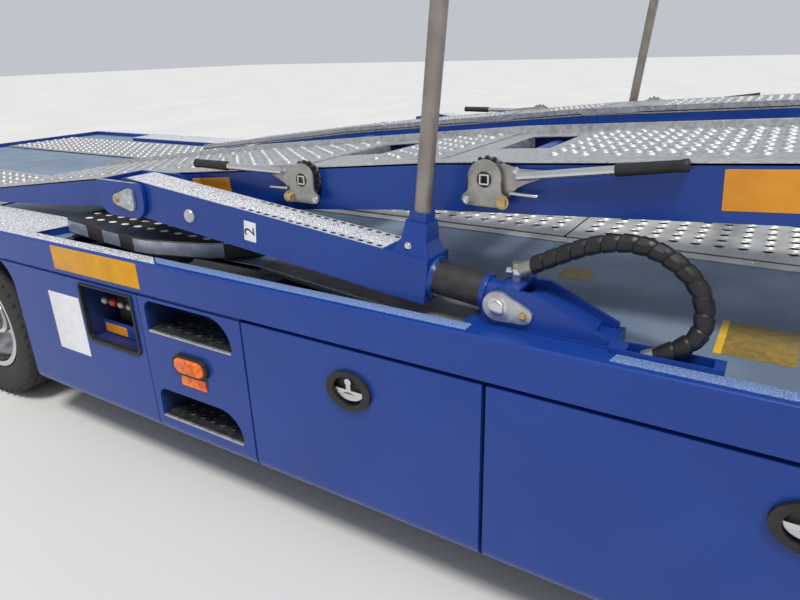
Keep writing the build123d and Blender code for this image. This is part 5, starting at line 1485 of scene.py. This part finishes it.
@dataclass
class LiftArm:
    """Fittings of the lift arms: grit, edge holes, pins, the arm's number and the post sockets' cross
    bolts.
    """

    pin: Flat = (-0.870, 0.945)
    eye: Flat = (-2.250, 1.090)
    middle: float = 1.135
    half_width: float = 0.059
    half_depth: float = 0.062
    start: float = 0.206
    flat_end: float = 1.386
    post_offset: float = 0.264
    collar: tuple[Flat, ...] = ((0, 0.046), (0, 0.056), (0.004, 0.058), (0.014, 0.058), (0.014, 0.046),
                                (0, 0.046))
    wiper: tuple[Flat, ...] = ((0, 0.0456), (0, 0.0500), (0.0024, 0.0500), (0.0024, 0.0456), (0, 0.0456))
    grit: tuple[Flat, ...] = ((0.345, 0.030), (0.800, 0.036), (0.905, 0.054))
    margin: tuple[Flat, ...] = ((0.345, 0.031), (0.800, 0.037), (0.900, 0.055), (0.900, 0.0572),
                                (0.345, 0.0572))
    edge: Flat = (0.0548, 0.0585)
    edge_start: float = 0.902
    holes: int = 17
    first_hole: float = 0.362
    hole_pitch: float = 0.031
    hole_row: float = 0.0455
    hole_radius: float = 0.0088

    @property
    def angle(self) -> float:
        """The arm's climb towards the rear, in radians."""
        return math.atan2(self.eye[1] - self.pin[1], self.pin[0] - self.eye[0])

    def place(self, side: int, distance: float, rise: float, out: float = 0.0) -> Matrix:
        """Axes on the arm: u along it to the eye, v outwards and w square up from it.

        Args:
            side: RIGHT or LEFT.
            distance: How far from the sill pin.
            rise: How far above the arm's middle line.
            out: How far outwards of its middle.

        Returns:
            The place in the trailer's frame.
        """
        c, s = math.cos(self.angle), math.sin(self.angle)
        origin = Vector((self.pin[0] - distance * c + rise * s, side * (self.middle + out),
                         self.pin[1] + distance * s + rise * c))
        turn = Matrix(((-c, 0, s), (0, side, 0), (s, 0, c))).transposed().to_4x4()
        return Matrix.Translation(origin) @ turn

    def _grit(self) -> bpy.types.Object:
        """Lay the grit on top of the arm, full width at the eye and narrower between the edge holes.

        Returns:
            The finished piece.
        """
        half = [*self.grit, (self.flat_end, self.grit[-1][1])]
        other = [(along, -v) for along, v in reversed(half)]
        outline = [other[-1], *half, *other[:-1]]
        return cut_plate([outline[::-1]], 0.0016, self.place(RIGHT, 0, self.half_depth - 0.0002), 0.0004)

    def _margins(self) -> bpy.types.Object:
        """Lay the pale margins that carry the edge holes, and the bright edges beside the wide grit: a
        painted reflection of the sky on the arm's blue top.

        Returns:
            The finished piece.
        """
        outlines = []
        start, end = self.edge_start, self.flat_end
        low, high = self.edge
        for way in (-1, 1):
            margin = [(along, way * v) for along, v in self.margin]
            edge = [(start, way * low), (end, way * low), (end, way * high), (start, way * high)]
            outlines += [margin[::way], edge[::way]]
        place = self.place(RIGHT, 0, self.half_depth - 0.0002)
        return joined([cut_plate([outline], 0.0012, place) for outline in outlines])

    def _holes(self) -> bpy.types.Object:
        """Cut the rows of dark ovals that stand as painted shade for the drain holes along both edges of
        the arm's top.

        Returns:
            The finished piece.
        """
        place = self.place(RIGHT, 0, self.half_depth + 0.0009)
        shade_ovals = []
        for step in range(self.holes):
            for v in (-self.hole_row, self.hole_row):
                outline = [(self.first_hole + step * self.hole_pitch + u, v + w * 0.75)
                           for u, w in ring(self.hole_radius, (0, 0), 16)]
                shade_ovals.append(cut_plate([outline], 0.0005, place))
        return joined(shade_ovals)

    def _pin_head(self) -> bpy.types.Object:
        """Turn the round head of the cross pin in the arm's web.

        Returns:
            The finished piece.
        """
        profile = [(0, 0), (0, 0.0225), (0.006, 0.0225), (0.0095, 0.0195), (0.0105, 0.010), (0.0105, 0)]
        foot = (-1.947, -self.middle - self.half_width + 0.001, 1.052)
        return turned(profile, foot, (0, -1, 0), 28)

    def _end_ring(self, setback: float, section: Sequence[Flat]) -> bpy.types.Object:
        """Turn a ring round the arm's axis beside the end of its box.

        Args:
            setback: How far it starts before that end.
            section: Its section, along the axis and outwards from it.

        Returns:
            The finished piece.
        """
        c, s = math.cos(self.angle), math.sin(self.angle)
        foot = self.place(RIGHT, self.start - setback, 0).translation
        return turned(list(section), tuple(foot), (-c, 0, s), 40)

    def _number(self, side: int) -> bpy.types.Object:
        """Cut the white label for the arm's number.

        Args:
            side: RIGHT or LEFT.

        Returns:
            The finished piece.
        """
        spot = facing((-1.686, side * (self.middle + self.half_width - 0.0002), 1.031), side,
                      -math.degrees(self.angle) * -side)
        return cut_plate([rounded((-0.024, 0.024), (-0.031, 0.031), (0.002,) * 4)], 0.001, spot, 0.0002)

    def _digit(self, side: int) -> bpy.types.Object:
        """Set the plain numeral on its side, as it is read from the ground.

        Args:
            side: RIGHT or LEFT.

        Returns:
            The finished piece.
        """
        nothing_selected()
        bpy.ops.object.text_add()
        text = bpy.context.object
        text.data.body = "2"
        text.data.size = 0.058
        text.data.align_x = "CENTER"
        text.data.align_y = "CENTER"
        text.data.extrude = 0.0003
        pick(text)
        bpy.ops.object.convert(target="MESH")
        digit = settle(bpy.context.object)
        spot = facing((-1.686, side * (self.middle + self.half_width + 0.0009), 1.031), side, 90)
        return placed(digit, spot)

    def _socket_bolt(self) -> bpy.types.Object:
        """Model the small cross bolt through the socket."""
        spot = self.place(RIGHT, self.post_offset + 0.010, self.half_depth + 0.022, 0.0436).translation
        return HexBolt(0.014, 0.005).model(facing(tuple(spot)))

    def build(self) -> None:
        """Model the fittings of both arms."""
        for make, name, finish in (
                (self._grit, "arm_grit", GRIT), (self._holes, "arm_holes", BLACK_INK_AND_SHADE),
                (self._margins, "arm_margins", PAINTED_SKY_REFLECTION),
                (lambda: self._end_ring(0.012, self.wiper), "arm_wiper", CHROME),
                (self._pin_head, "arm_pin_head", ZINC),
                (lambda: self._end_ring(0.010, self.collar), "arm_collar", PAINT),
                (self._socket_bolt, "socket_bolt", CHROME)):
            on_both_sides(make, name, "lift_arm_{side}", finish)
        for side in (RIGHT, LEFT):
            body = f"lift_arm_{SIDE_NAMES[side]}"
            dressed(self._number(side), f"arm_label_{SIDE_NAMES[side]}", body, WHITE_LABEL)
            dressed(self._digit(side), f"arm_numeral_{SIDE_NAMES[side]}", body, BLACK_INK_AND_SHADE)


@dataclass
class SillBracket:
    """The keeper, bolts and blue barrel end at the lift cylinder's foot."""

    pin: Flat = (-0.870, 0.945)
    face: float = 1.205
    climb: Flat = (0.145, 1.380)

    def _keeper(self) -> bpy.types.Object:
        """Cut the teardrop keeper plate over the sill pin."""
        outline = hull_outline(((0, 0, 0.0375), (0.067, -0.013, 0.0215)))
        return cut_plate([outline], 0.0115, facing((self.pin[0], -self.face + 0.0105, self.pin[1])), 0.0022)

    def _bolt(self) -> bpy.types.Object:
        """Model the large pin bolt."""
        place = facing((self.pin[0] + 0.002, -self.face - 0.0008, self.pin[1]))
        return HexBolt(0.034, 0.010, 0.0015).model(place)

    def _small_bolt(self) -> bpy.types.Object:
        """Model the keeper's small screw."""
        place = facing((self.pin[0] + 0.067, -self.face - 0.0008, self.pin[1] - 0.013))
        return HexBolt(0.015, 0.006).model(place)

    def _sleeve(self) -> bpy.types.Object:
        """Model the blue end block of the barrel round the pin.

        Returns:
            The finished piece.
        """
        lean = math.atan2(*self.climb)
        x, z = self.pin
        along = Vector((-math.cos(lean), 0, math.sin(lean)))
        centre = Vector((x, -1.135, z))
        eye = rod((x, -1.1774, z), (x, -1.0926, z), 0.0366, 40)
        neck = rod(tuple(centre), tuple(centre + along * 0.051), 0.0386, 40)
        collar = rod(tuple(centre + along * 0.0495), tuple(centre + along * 0.0640), 0.0462, 40, edge=0.001)
        return joined([eye, neck, collar])

    def build(self) -> None:
        """Model the fittings of both brackets."""
        on_both_sides(self._keeper, "pin_keeper", "trailer", ZINC)
        on_both_sides(self._bolt, "pin_bolt", "trailer", CHROME)
        on_both_sides(self._small_bolt, "keeper_screw", "trailer", PASSIVATED)
        on_both_sides(self._sleeve, "barrel_end", "lift_cylinder_{side}", PAINT)


@dataclass
class GuardedHose:
    """The cylinder's hose inside its spiral guard, with its ferrules and swivel tee."""

    radius: float = 0.018
    length: float = 0.615
    turns: int = 17
    swivel: float = 0.048
    ferrule: tuple[Flat, ...] = (
        (-0.052, 0.0), (-0.052, 0.0085), (-0.036, 0.0085), (-0.034, 0.0115), (-0.010, 0.0115),
        (-0.008, 0.0135), (0.004, 0.0135), (0.006, 0.0150), (0.022, 0.0150), (0.024, 0.0138), (0.024, 0.0))
    fittings: tuple[tuple[Solid, Solid, float, int, float], ...] = (
        ((0.0, 0.0, -0.014), (0.0, 0.0, 0.010), 0.0165, 6, 0.0015),
        ((-0.026, 0, 0), (0.018, 0, 0.002), 0.0105, 20, 0.001),
        ((0, 0, 0.008), (0, 0, 0.020), 0.0105, 6, 0.001))
    slices: int = 8
    laps: tuple[tuple[int, float], ...] = ((0, 0.0040), (4, 0.0034), (6, 0.0022), (7, 0.0003))
    sides: int = 16
    lean: float = 0.0060
    route: tuple[Solid, ...] = ((-0.806, -1.135, 1.040), (-0.770, -1.135, 1.060), (-0.655, -1.136, 1.118),
                                (-0.545, -1.142, 1.128), (-0.440, -1.160, 1.070), (-0.410, -1.180, 0.985),
                                (-0.436, -1.190, 0.928), (-0.500, -1.190, 0.893))

    def side_route(self, side: int) -> list[Solid]:
        """The route's points on one side."""
        return [(x, -side * y, z) for x, y, z in self.route]

    def _line(self, side: int) -> bpy.types.Object:
        """Draw the hose's smooth line, which has no thickness.

        Args:
            side: RIGHT or LEFT.

        Returns:
            The line's object.
        """
        curve = bpy.data.curves.new("hose", "CURVE")
        curve.dimensions = "3D"
        curve.resolution_u = 12
        spline = curve.splines.new("NURBS")
        spline.points.add(len(self.route) - 1)
        for point, at in zip(spline.points, self.side_route(side)):
            point.co = (*at, 1.0)
        spline.order_u = 3
        spline.use_endpoint_u = True
        line = bpy.data.objects.new("hose", curve)
        bpy.context.collection.objects.link(line)
        return line

    def _hose(self, side: int) -> bpy.types.Object:
        """Give the smooth line the hose's thickness.

        Args:
            side: RIGHT or LEFT.

        Returns:
            The hose's object.
        """
        hose = self._line(side)
        hose.data.bevel_depth = self.radius
        hose.data.bevel_resolution = 5
        hose.data.use_fill_caps = True
        return hose

    def _sampled(self, side: int, steps: int) -> list[tuple[Vector, Vector]]:
        """Read places and directions at even steps along the hose's smooth line.

        Args:
            side: RIGHT or LEFT.
            steps: How many steps to take.

        Returns:
            Each step's place and direction.
        """
        line = self._line(side)
        bpy.context.view_layer.update()
        mesh = bpy.data.meshes.new_from_object(line)
        spots = [vertex.co.copy() for vertex in mesh.vertices]
        bpy.data.meshes.remove(mesh)
        bpy.data.objects.remove(line)
        reach = [0.0]
        for a, b in zip(spots, spots[1:]):
            reach.append(reach[-1] + (b - a).length)
        even = []
        for step in range(steps + 1):
            goal = reach[-1] * step / steps
            index = min(max(sum(1 for value in reach if value < goal), 1), len(spots) - 1)
            share = (goal - reach[index - 1]) / (reach[index] - reach[index - 1])
            even.append((spots[index - 1].lerp(spots[index], share),
                         (spots[index] - spots[index - 1]).normalized()))
        return even

    def _guard(self, side: int) -> bpy.types.Object:
        """Wind the flat guard strip round the hose, each turn lapped over the last like scales.

        Args:
            side: RIGHT or LEFT.

        Returns:
            The finished piece.
        """
        rows: list[Vector] = []
        faces: list[tuple[int, ...]] = []
        steps = self._sampled(side, self.turns * self.slices)
        line = [(*steps[turn * self.slices + at], lift)
                for turn in range(self.turns) for at, lift in self.laps]
        for spot, way, lift in line:
            radius = self.radius + lift
            across = way.cross(Vector((0, 1, 0))).normalized()
            up = way.cross(across)
            lean = way * self.lean
            for corner in range(self.sides):
                turn = math.tau * corner / self.sides
                rows.append(spot + across * radius * math.cos(turn) + up * radius * math.sin(turn)
                            + lean * math.cos(turn + 0.6))
        for index in range(len(line) - 1):
            for corner in range(self.sides):
                a = index * self.sides + corner
                b = index * self.sides + (corner + 1) % self.sides
                faces.append((a, b, b + self.sides, a + self.sides))
        mesh = bpy.data.meshes.new("guard")
        mesh.from_pydata(rows, [], faces)
        guard = bpy.data.objects.new("guard", mesh)
        bpy.context.collection.objects.link(guard)
        tidied(guard)
        applied(guard, "SOLIDIFY", thickness=0.001, offset=-1)
        return smoothed(guard, 22)

    def _ferrule(self, side: int) -> bpy.types.Object:
        """Turn the crimped ferrule and the swivel nut at the hose's upper end.

        Args:
            side: RIGHT or LEFT.

        Returns:
            The finished piece.
        """
        spots = self.side_route(side)
        start, way = Vector(spots[0]), (Vector(spots[1]) - Vector(spots[0])).normalized()
        parts = [turned(list(self.ferrule), tuple(start + way * -0.002), tuple(way), 24)]
        foot = start - way * self.swivel
        for low, high, radius, sides, edge in self.fittings:
            parts.append(rod(tuple(foot + Vector(low)), tuple(foot + Vector(high)), radius, sides,
                             edge=edge))
        return joined(parts)

    def build(self) -> None:
        """Model the hoses of both sides."""
        for side in (RIGHT, LEFT):
            name = SIDE_NAMES[side]
            hose = dressed(self._hose(side), f"lift_hose_{name}", "trailer", HOSE_RUBBER, (f"hose_{name}",))
            guard = dressed(self._guard(side), f"hose_guard_{name}", "trailer", HOSE_RUBBER)
            ferrule = dressed(self._ferrule(side), f"hose_ferrule_{name}", "trailer", CHROME)


@dataclass
class RoadWheel:
    """Twin tyres with grooved treads, and the nuts of each polished wheel."""

    axles: tuple[tuple[str, float], ...] = (("front", -3.480), ("rear", -4.730))
    axle_height: float = 0.390
    outer: float = 1.1455
    spacing: float = 0.270
    radius: float = 0.390
    half_width: float = 0.1125
    bead: float = 0.247
    wall: tuple[Flat, ...] = (
        (0.083, 0.253), (0.096, 0.268), (0.1075, 0.290), (0.1125, 0.312), (0.1120, 0.332), (0.1085, 0.350),
        (0.1040, 0.364), (0.0985, 0.3755), (0.0930, 0.3815), (0.0860, 0.3850))
    grooves: Flat = (0.062, 0.022)
    groove_half: Flat = (0.0040, 0.0055)
    groove_floor: float = 0.3760
    lands: Flat = (0.3878, 0.3882)
    fall: float = 0.02
    crown: float = 0.3890
    rim: Flat = (0.074, 0.2325)
    bars: int = 48
    nuts: int = 10
    nut_circle: float = 0.112
    nut: tuple[Flat, float, int, float] = ((1.022, 1.052), 0.0165, 6, 0.0015)
    stud: tuple[Flat, float, int, float] = ((1.046, 1.062), 0.0095, 12, 0.001)

    def _tyre(self) -> bpy.types.Object:
        """Spin one tyre about the Y axis: bead, bulged wall, rounded shoulder and ribbed tread.

        Returns:
            The finished piece.
        """
        half: list[Flat] = [(self.rim[0], self.bead), *self.wall]
        floor, brink = self.groove_half
        for place in self.grooves:
            half += [(place + brink, self.lands[0] - self.fall * place), (place + floor, self.groove_floor),
                     (place - floor, self.groove_floor), (place - brink, self.lands[1] - self.fall * place)]
        half.append((0.0, self.crown))
        rows = [(-y, r) for y, r in half] + [(y, r) for y, r in reversed(half[:-1])]
        rows += [self.rim, (-self.rim[0], self.rim[1]), rows[0]]
        return turned(rows, (0, 0, 0), (0, 1, 0), 72)

    def _shoulder_blocks(self) -> bpy.types.Object:
        """Model the small cross blocks moulded round both shoulders.

        Returns:
            The finished piece.
        """
        blocks = []
        lug = block((-0.0045, 0.0900, 0.3600), (0.0045, 0.1085, 0.3790), 0.0015)
        for step in range(self.bars):
            blocks.append(copied(lug, Matrix.Rotation(math.tau * step / self.bars, 4, "Y")))
        bpy.data.objects.remove(lug)
        near = joined(blocks)
        far = mirrored(near)
        return joined([near, far])

    def _nuts(self, side: int) -> bpy.types.Object:
        """Model the ring of wheel nuts on the hub flange.

        Args:
            side: RIGHT or LEFT.

        Returns:
            The finished piece.
        """
        nuts = []
        for step in range(self.nuts):
            turn = math.tau * (step + 0.5) / self.nuts
            x, z = self.nut_circle * math.cos(turn), self.nut_circle * math.sin(turn)
            for (low, high), radius, sides, edge in (self.nut, self.stud):
                nuts.append(rod((x, side * low, z), (x, side * high, z), radius, sides, edge=edge))
        return joined(nuts)

    def build(self) -> None:
        """Model every tyre and nut ring."""
        master = joined([self._tyre(), self._shoulder_blocks()])
        for name, x in self.axles:
            for side in (RIGHT, LEFT):
                label = f"{name}_{SIDE_NAMES[side]}"
                pair = [copied(master, Matrix.Translation((x, side * middle, self.axle_height)))
                        for middle in (self.outer, self.outer - self.spacing)]
                dressed(smoothed(joined(pair), 30), f"treaded_tyres_{label}", f"wheels_{label}",
                        TREAD_RUBBER, (f"tyres_{label}",))
                nuts = placed(self._nuts(side), Matrix.Translation((x, 0, self.axle_height)))
                dressed(nuts, f"wheel_nuts_{label}", f"wheels_{label}", CHROME)
        bpy.data.objects.remove(master)


@dataclass
class LowDeck:
    """The low deck's centre grip panels, side plates, rivets and blank labels."""

    top: float = 0.860
    half: float = 0.275
    rise: float = 0.006
    seams: tuple[float, ...] = (-3.540, -2.240, -0.995, 0.250, 1.500, 2.330)
    track: Flat = (0.350, 0.960)
    rear_track: Flat = (-6.000, -3.660)
    neck_track: Flat = (2.600, 5.970)
    neck_top: float = 1.480
    labels: tuple[tuple[str, Flat, Flat, float, float, Finish], ...] = (
        ("deck_label_ochre", (-0.385, -0.230), (-1.040, -0.830), 0.003, 0.001, OCHRE_PLATE),
        ("deck_label_yellow", (-0.400, -0.383), (-1.040, -0.830), 0.001, 0.0013, LEMON_PLATE),
        ("deck_label_small", (-0.885, -0.792), (-0.700, -0.600), 0.003, 0.001, OCHRE_PLATE))

    def _panels(self) -> bpy.types.Object:
        """Lay the dimpled panels along the middle of the deck.

        Returns:
            The finished piece.
        """
        return joined([LARGE_DIMPLES.laid((start + 0.004, -self.half, self.top + self.rise),
                                          (end - 0.004, -self.half, self.top + self.rise), 2 * self.half)
                       for start, end in zip(self.seams, self.seams[1:])])

    def _wheel_tracks(self) -> bpy.types.Object:
        """Lay the dimpled wheel tracks behind the platform and on the neck.

        Returns:
            The finished piece.
        """
        low, high = self.track
        return joined([LARGE_DIMPLES.laid((start, -high, top), (end, -high, top), high - low)
                       for (start, end), top in ((self.rear_track, self.top + self.rise),
                                                 (self.neck_track, self.neck_top))])

    def _backing(self) -> bpy.types.Object:
        """Lay the dark sheet that shows through the dimples as painted shade beneath the deck.

        Returns:
            The finished piece.
        """
        low, high = self.track
        pieces = [block((self.seams[0] + 0.006, -self.half + 0.003, self.top),
                        (self.seams[-1] - 0.006, self.half - 0.003, self.top + 0.0008))]
        for side in (RIGHT, LEFT):
            pieces.append(block((self.rear_track[0] + 0.004, side * (low + 0.003), self.top),
                                (self.rear_track[1] - 0.004, side * (high - 0.003), self.top + 0.0008)))
        return joined(pieces)

    def _rivets(self) -> bpy.types.Object:
        """Turn the rivets along the panels' edges.

        Returns:
            The finished piece.
        """
        profile = [(0, 0.0075), (0.002, 0.0070), (0.0042, 0.0045), (0.005, 0)]
        head = turned(profile, (0, 0, 0), (0, 0, 1), 12)
        rivets = []
        for start, end in zip(self.seams, self.seams[1:]):
            for share in (0.04, 0.5, 0.96):
                for y in (-self.half - 0.030, self.half + 0.030):
                    spot = (start + (end - start) * share, y, self.top + 0.0045)
                    rivets.append(copied(head, Matrix.Translation(spot)))
        bpy.data.objects.remove(head)
        return joined(rivets)

    def _edges(self) -> bpy.types.Object:
        """Lay the raised edge strips beside the panels.

        Returns:
            The finished piece.
        """
        strips = []
        for side in (RIGHT, LEFT):
            low, high = sorted((side * (self.half + 0.004), side * (self.half + 0.060)))
            end = (self.seams[-1], high, self.top + 0.0048)
            strips.append(block((self.seams[0], low, self.top), end, 0.001))
        return joined(strips)

    def build(self) -> None:
        """Model the deck's panels and labels."""
        dressed(self._panels(), "low_deck_panels", "trailer", DECK, ("deck_tracks",))
        dressed(self._backing(), "low_deck_backing", "trailer", BLACK_INK_AND_SHADE)
        on_both_sides(self._wheel_tracks, "wheel_tracks", "trailer", ZINC)
        dressed(self._edges(), "low_deck_edges", "trailer", DECK)
        dressed(self._rivets(), "low_deck_rivets", "trailer", CHROME)
        for name, x_range, y_range, radius, thickness, finish in self.labels:
            outline = rounded(x_range, y_range, (radius,) * 4)
            label = cut_plate([outline], thickness, Matrix.Translation((0, 0, self.top - 0.0001)), 0.0003)
            dressed(label, name, "trailer", finish)


@dataclass
class StoredRamp:
    """A spare loading ramp on the deck: a perforated black pan with reflective tape on its bowed edge."""

    plan: tuple[Solid, ...] = (
        (-2.795, -1.123, 0.030), (-2.560, -1.153, 0.400), (-2.230, -1.187, 0.300), (-1.900, -1.095, 0.200),
        (-1.860, -0.975, 0.060), (-1.900, -0.835, 0.060), (-2.795, -0.835, 0.030))
    low: float = 0.878
    high: float = 0.935
    wall: float = 0.006
    skin: float = 0.0014
    hole_rows: int = 4
    hole_columns: int = 11
    first_hole: Flat = (-2.745, -0.875)
    hole_pitch: Flat = (0.076, 0.066)
    hole_radius: float = 0.0190
    tapes: tuple[Flat, ...] = ((-2.780, -2.620), (-2.500, -2.385), (-2.290, -1.930))

    def _pan(self) -> bpy.types.Object:
        """Press the pan: its pierced top, its wall and its two runners.

        Returns:
            The finished piece.
        """
        outline = filleted(self.plan)
        holes = []
        across, down = self.hole_pitch
        for row in range(self.hole_rows):
            for column in range(self.hole_columns if row < 2 else self.hole_columns - 1):
                x = self.first_hole[0] + column * across + (row % 2) * across / 2
                y = self.first_hole[1] - row * down
                holes.append([(x + u, y + v * 0.72) for u, v in ring(self.hole_radius, (0, 0), 14)])
        top = cut_plate([outline, *holes], self.skin, Matrix.Translation((0, 0, self.high - self.skin)))
        wall = cut_plate([outline, inset(outline, self.wall)], self.high - self.wall - self.low,
                         Matrix.Translation((0, 0, self.low)))
        runners = [block((-2.760, -y - 0.040, 0.860), (-1.940, -y, self.high - self.wall - 0.001), 0.001)
                   for y in (0.815, 0.935)]
        return joined([top, wall, *runners])

    def _rims(self) -> bpy.types.Object:
        """Press the bright sheet that shows through the holes as painted sunlight on the deck below."""
        return cut_plate([inset(filleted(self.plan), self.wall + 0.001)], self.wall - self.skin,
                         Matrix.Translation((0, 0, self.high - self.wall)))

    def _tape(self) -> bpy.types.Object:
        """Lay the tape on the bowed edge in separate lengths; its bluish grey is painted shade.

        Returns:
            The finished piece.
        """
        edge = sorted(point for point in filleted(self.plan, 12) if point[1] < -1.05)
        lengths = []
        for start, end in self.tapes:
            places = [start + (end - start) * step / 12 for step in range(13)]
            line = []
            for x in places:
                before = max(point for point in edge if point[0] <= x)
                after = min(point for point in edge if point[0] > x)
                share = (x - before[0]) / (after[0] - before[0])
                line.append((x, before[1] + (after[1] - before[1]) * share))
            band = [(x, y + 0.0006) for x, y in line] + [(x, y - 0.0014) for x, y in reversed(line)]
            lengths.append(cut_plate([band], 0.047, Matrix.Translation((0, 0, self.low + 0.005))))
        return joined(lengths)

    def build(self) -> None:
        """Model the ramps of both sides."""
        right = self._pan()
        left = mirrored(right)
        dressed(right, "stored_ramp_right", "trailer", BLACK_METAL, ("stored_ramps",))
        dressed(left, "stored_ramp_left", "trailer", BLACK_METAL)
        on_both_sides(self._rims, "ramp_rims", "trailer", SUNLIT_HOLE_PAINT)
        on_both_sides(self._tape, "ramp_tape", "trailer", SHADED_TAPE)


@dataclass
class Studio:
    """The pale floor, soft light and camera."""

    camera_at: Solid = (-0.317, -2.525, 1.530)
    azimuth: float = 32.19
    elevation: float = 21.66
    roll: float = -1.67
    focal_pixels: float = 627.8
    image_width: float = 800.0

    def _camera(self) -> None:
        """Stand the camera where the photograph was taken from."""
        camera = bpy.data.cameras.new("camera")
        camera.sensor_width = 36.0
        camera.lens = self.focal_pixels / self.image_width * camera.sensor_width
        camera.clip_start, camera.clip_end = 0.05, 200.0
        stand = bpy.data.objects.new("camera", camera)
        bpy.context.collection.objects.link(stand)
        turn, tip = math.radians(self.azimuth), math.radians(self.elevation)
        ahead = Vector((-math.sin(turn) * math.cos(tip), math.cos(turn) * math.cos(tip), -math.sin(tip)))
        right = Vector((math.cos(turn), math.sin(turn), 0.0))
        up = right.cross(ahead)
        level = Matrix((right, up, -ahead)).transposed().to_4x4()
        stand.matrix_world = (Matrix.Translation(self.camera_at) @ level
                              @ Matrix.Rotation(math.radians(self.roll), 4, "Z"))
        bpy.context.scene.camera = stand

    def _light(self) -> None:
        """Light the trailer evenly, with one soft key from the front right."""
        world = bpy.data.worlds.new("studio")
        world.use_nodes = True
        backdrop = world.node_tree.nodes["Background"]
        backdrop.inputs["Color"].default_value = (0.86, 0.90, 0.96, 1.0)
        backdrop.inputs["Strength"].default_value = 0.62
        bpy.context.scene.world = world
        key = bpy.data.lights.new("key", "SUN")
        key.energy = 2.3
        key.angle = math.radians(14)
        key.color = (1.0, 0.97, 0.92)
        lamp = bpy.data.objects.new("key", key)
        bpy.context.collection.objects.link(lamp)
        lamp.rotation_euler = Vector((0.30, -0.42, 1.0)).to_track_quat("Z", "Y").to_euler()

    def _floor(self) -> None:
        """Lay the plain floor."""
        nothing_selected()
        bpy.ops.mesh.primitive_plane_add(size=160.0)
        floor = bpy.context.object
        floor.name = "studio_floor"
        floor.data.materials.append(STUDIO_FLOOR.material())

    def build(self) -> None:
        """Set up the whole studio."""
        bpy.context.scene.view_settings.view_transform = "Standard"
        self._camera()
        self._light()
        self._floor()


def dress_nodes() -> None:
    """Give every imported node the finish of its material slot."""
    slots = {entry["node"]: entry["material_slot"] for entry in frame["record"]["subparts"]}
    special = {}
    for side in SIDE_NAMES.values():
        # The recess boxes take the darker blue of painted shade.
        special |= {f"lift_cylinder_{side}": ROD_COVER, f"guide_post_{side}": POST_ZINC,
                    f"recess_boxes_{side}": SHADED_WELL_PAINT}
    for node, piece in frame["nodes"].items():
        finish = special.get(node, SLOT_FINISHES[slots[node]])
        for place in piece.material_slots:
            place.material = finish.material()
        pick(piece)
        log.info("%s has the finish %s", node, finish.name)


def main() -> None:
    """Build every sub-assembly in order."""
    logging.basicConfig(level=logging.INFO, format="%(name)s: %(message)s")
    dress_nodes()
    Studio().build()
    GuardedHose().build()
    platform = Platform()
    platform.build()
    StrapRatchets().build(platform)
    SideSill().build()
    Skirt().build()
    DoorLatch().build()
    LiftArm().build()
    SillBracket().build()
    RoadWheel().build()
    LowDeck().build()
    StoredRamp().build()


if __name__ == "__main__":
    main()
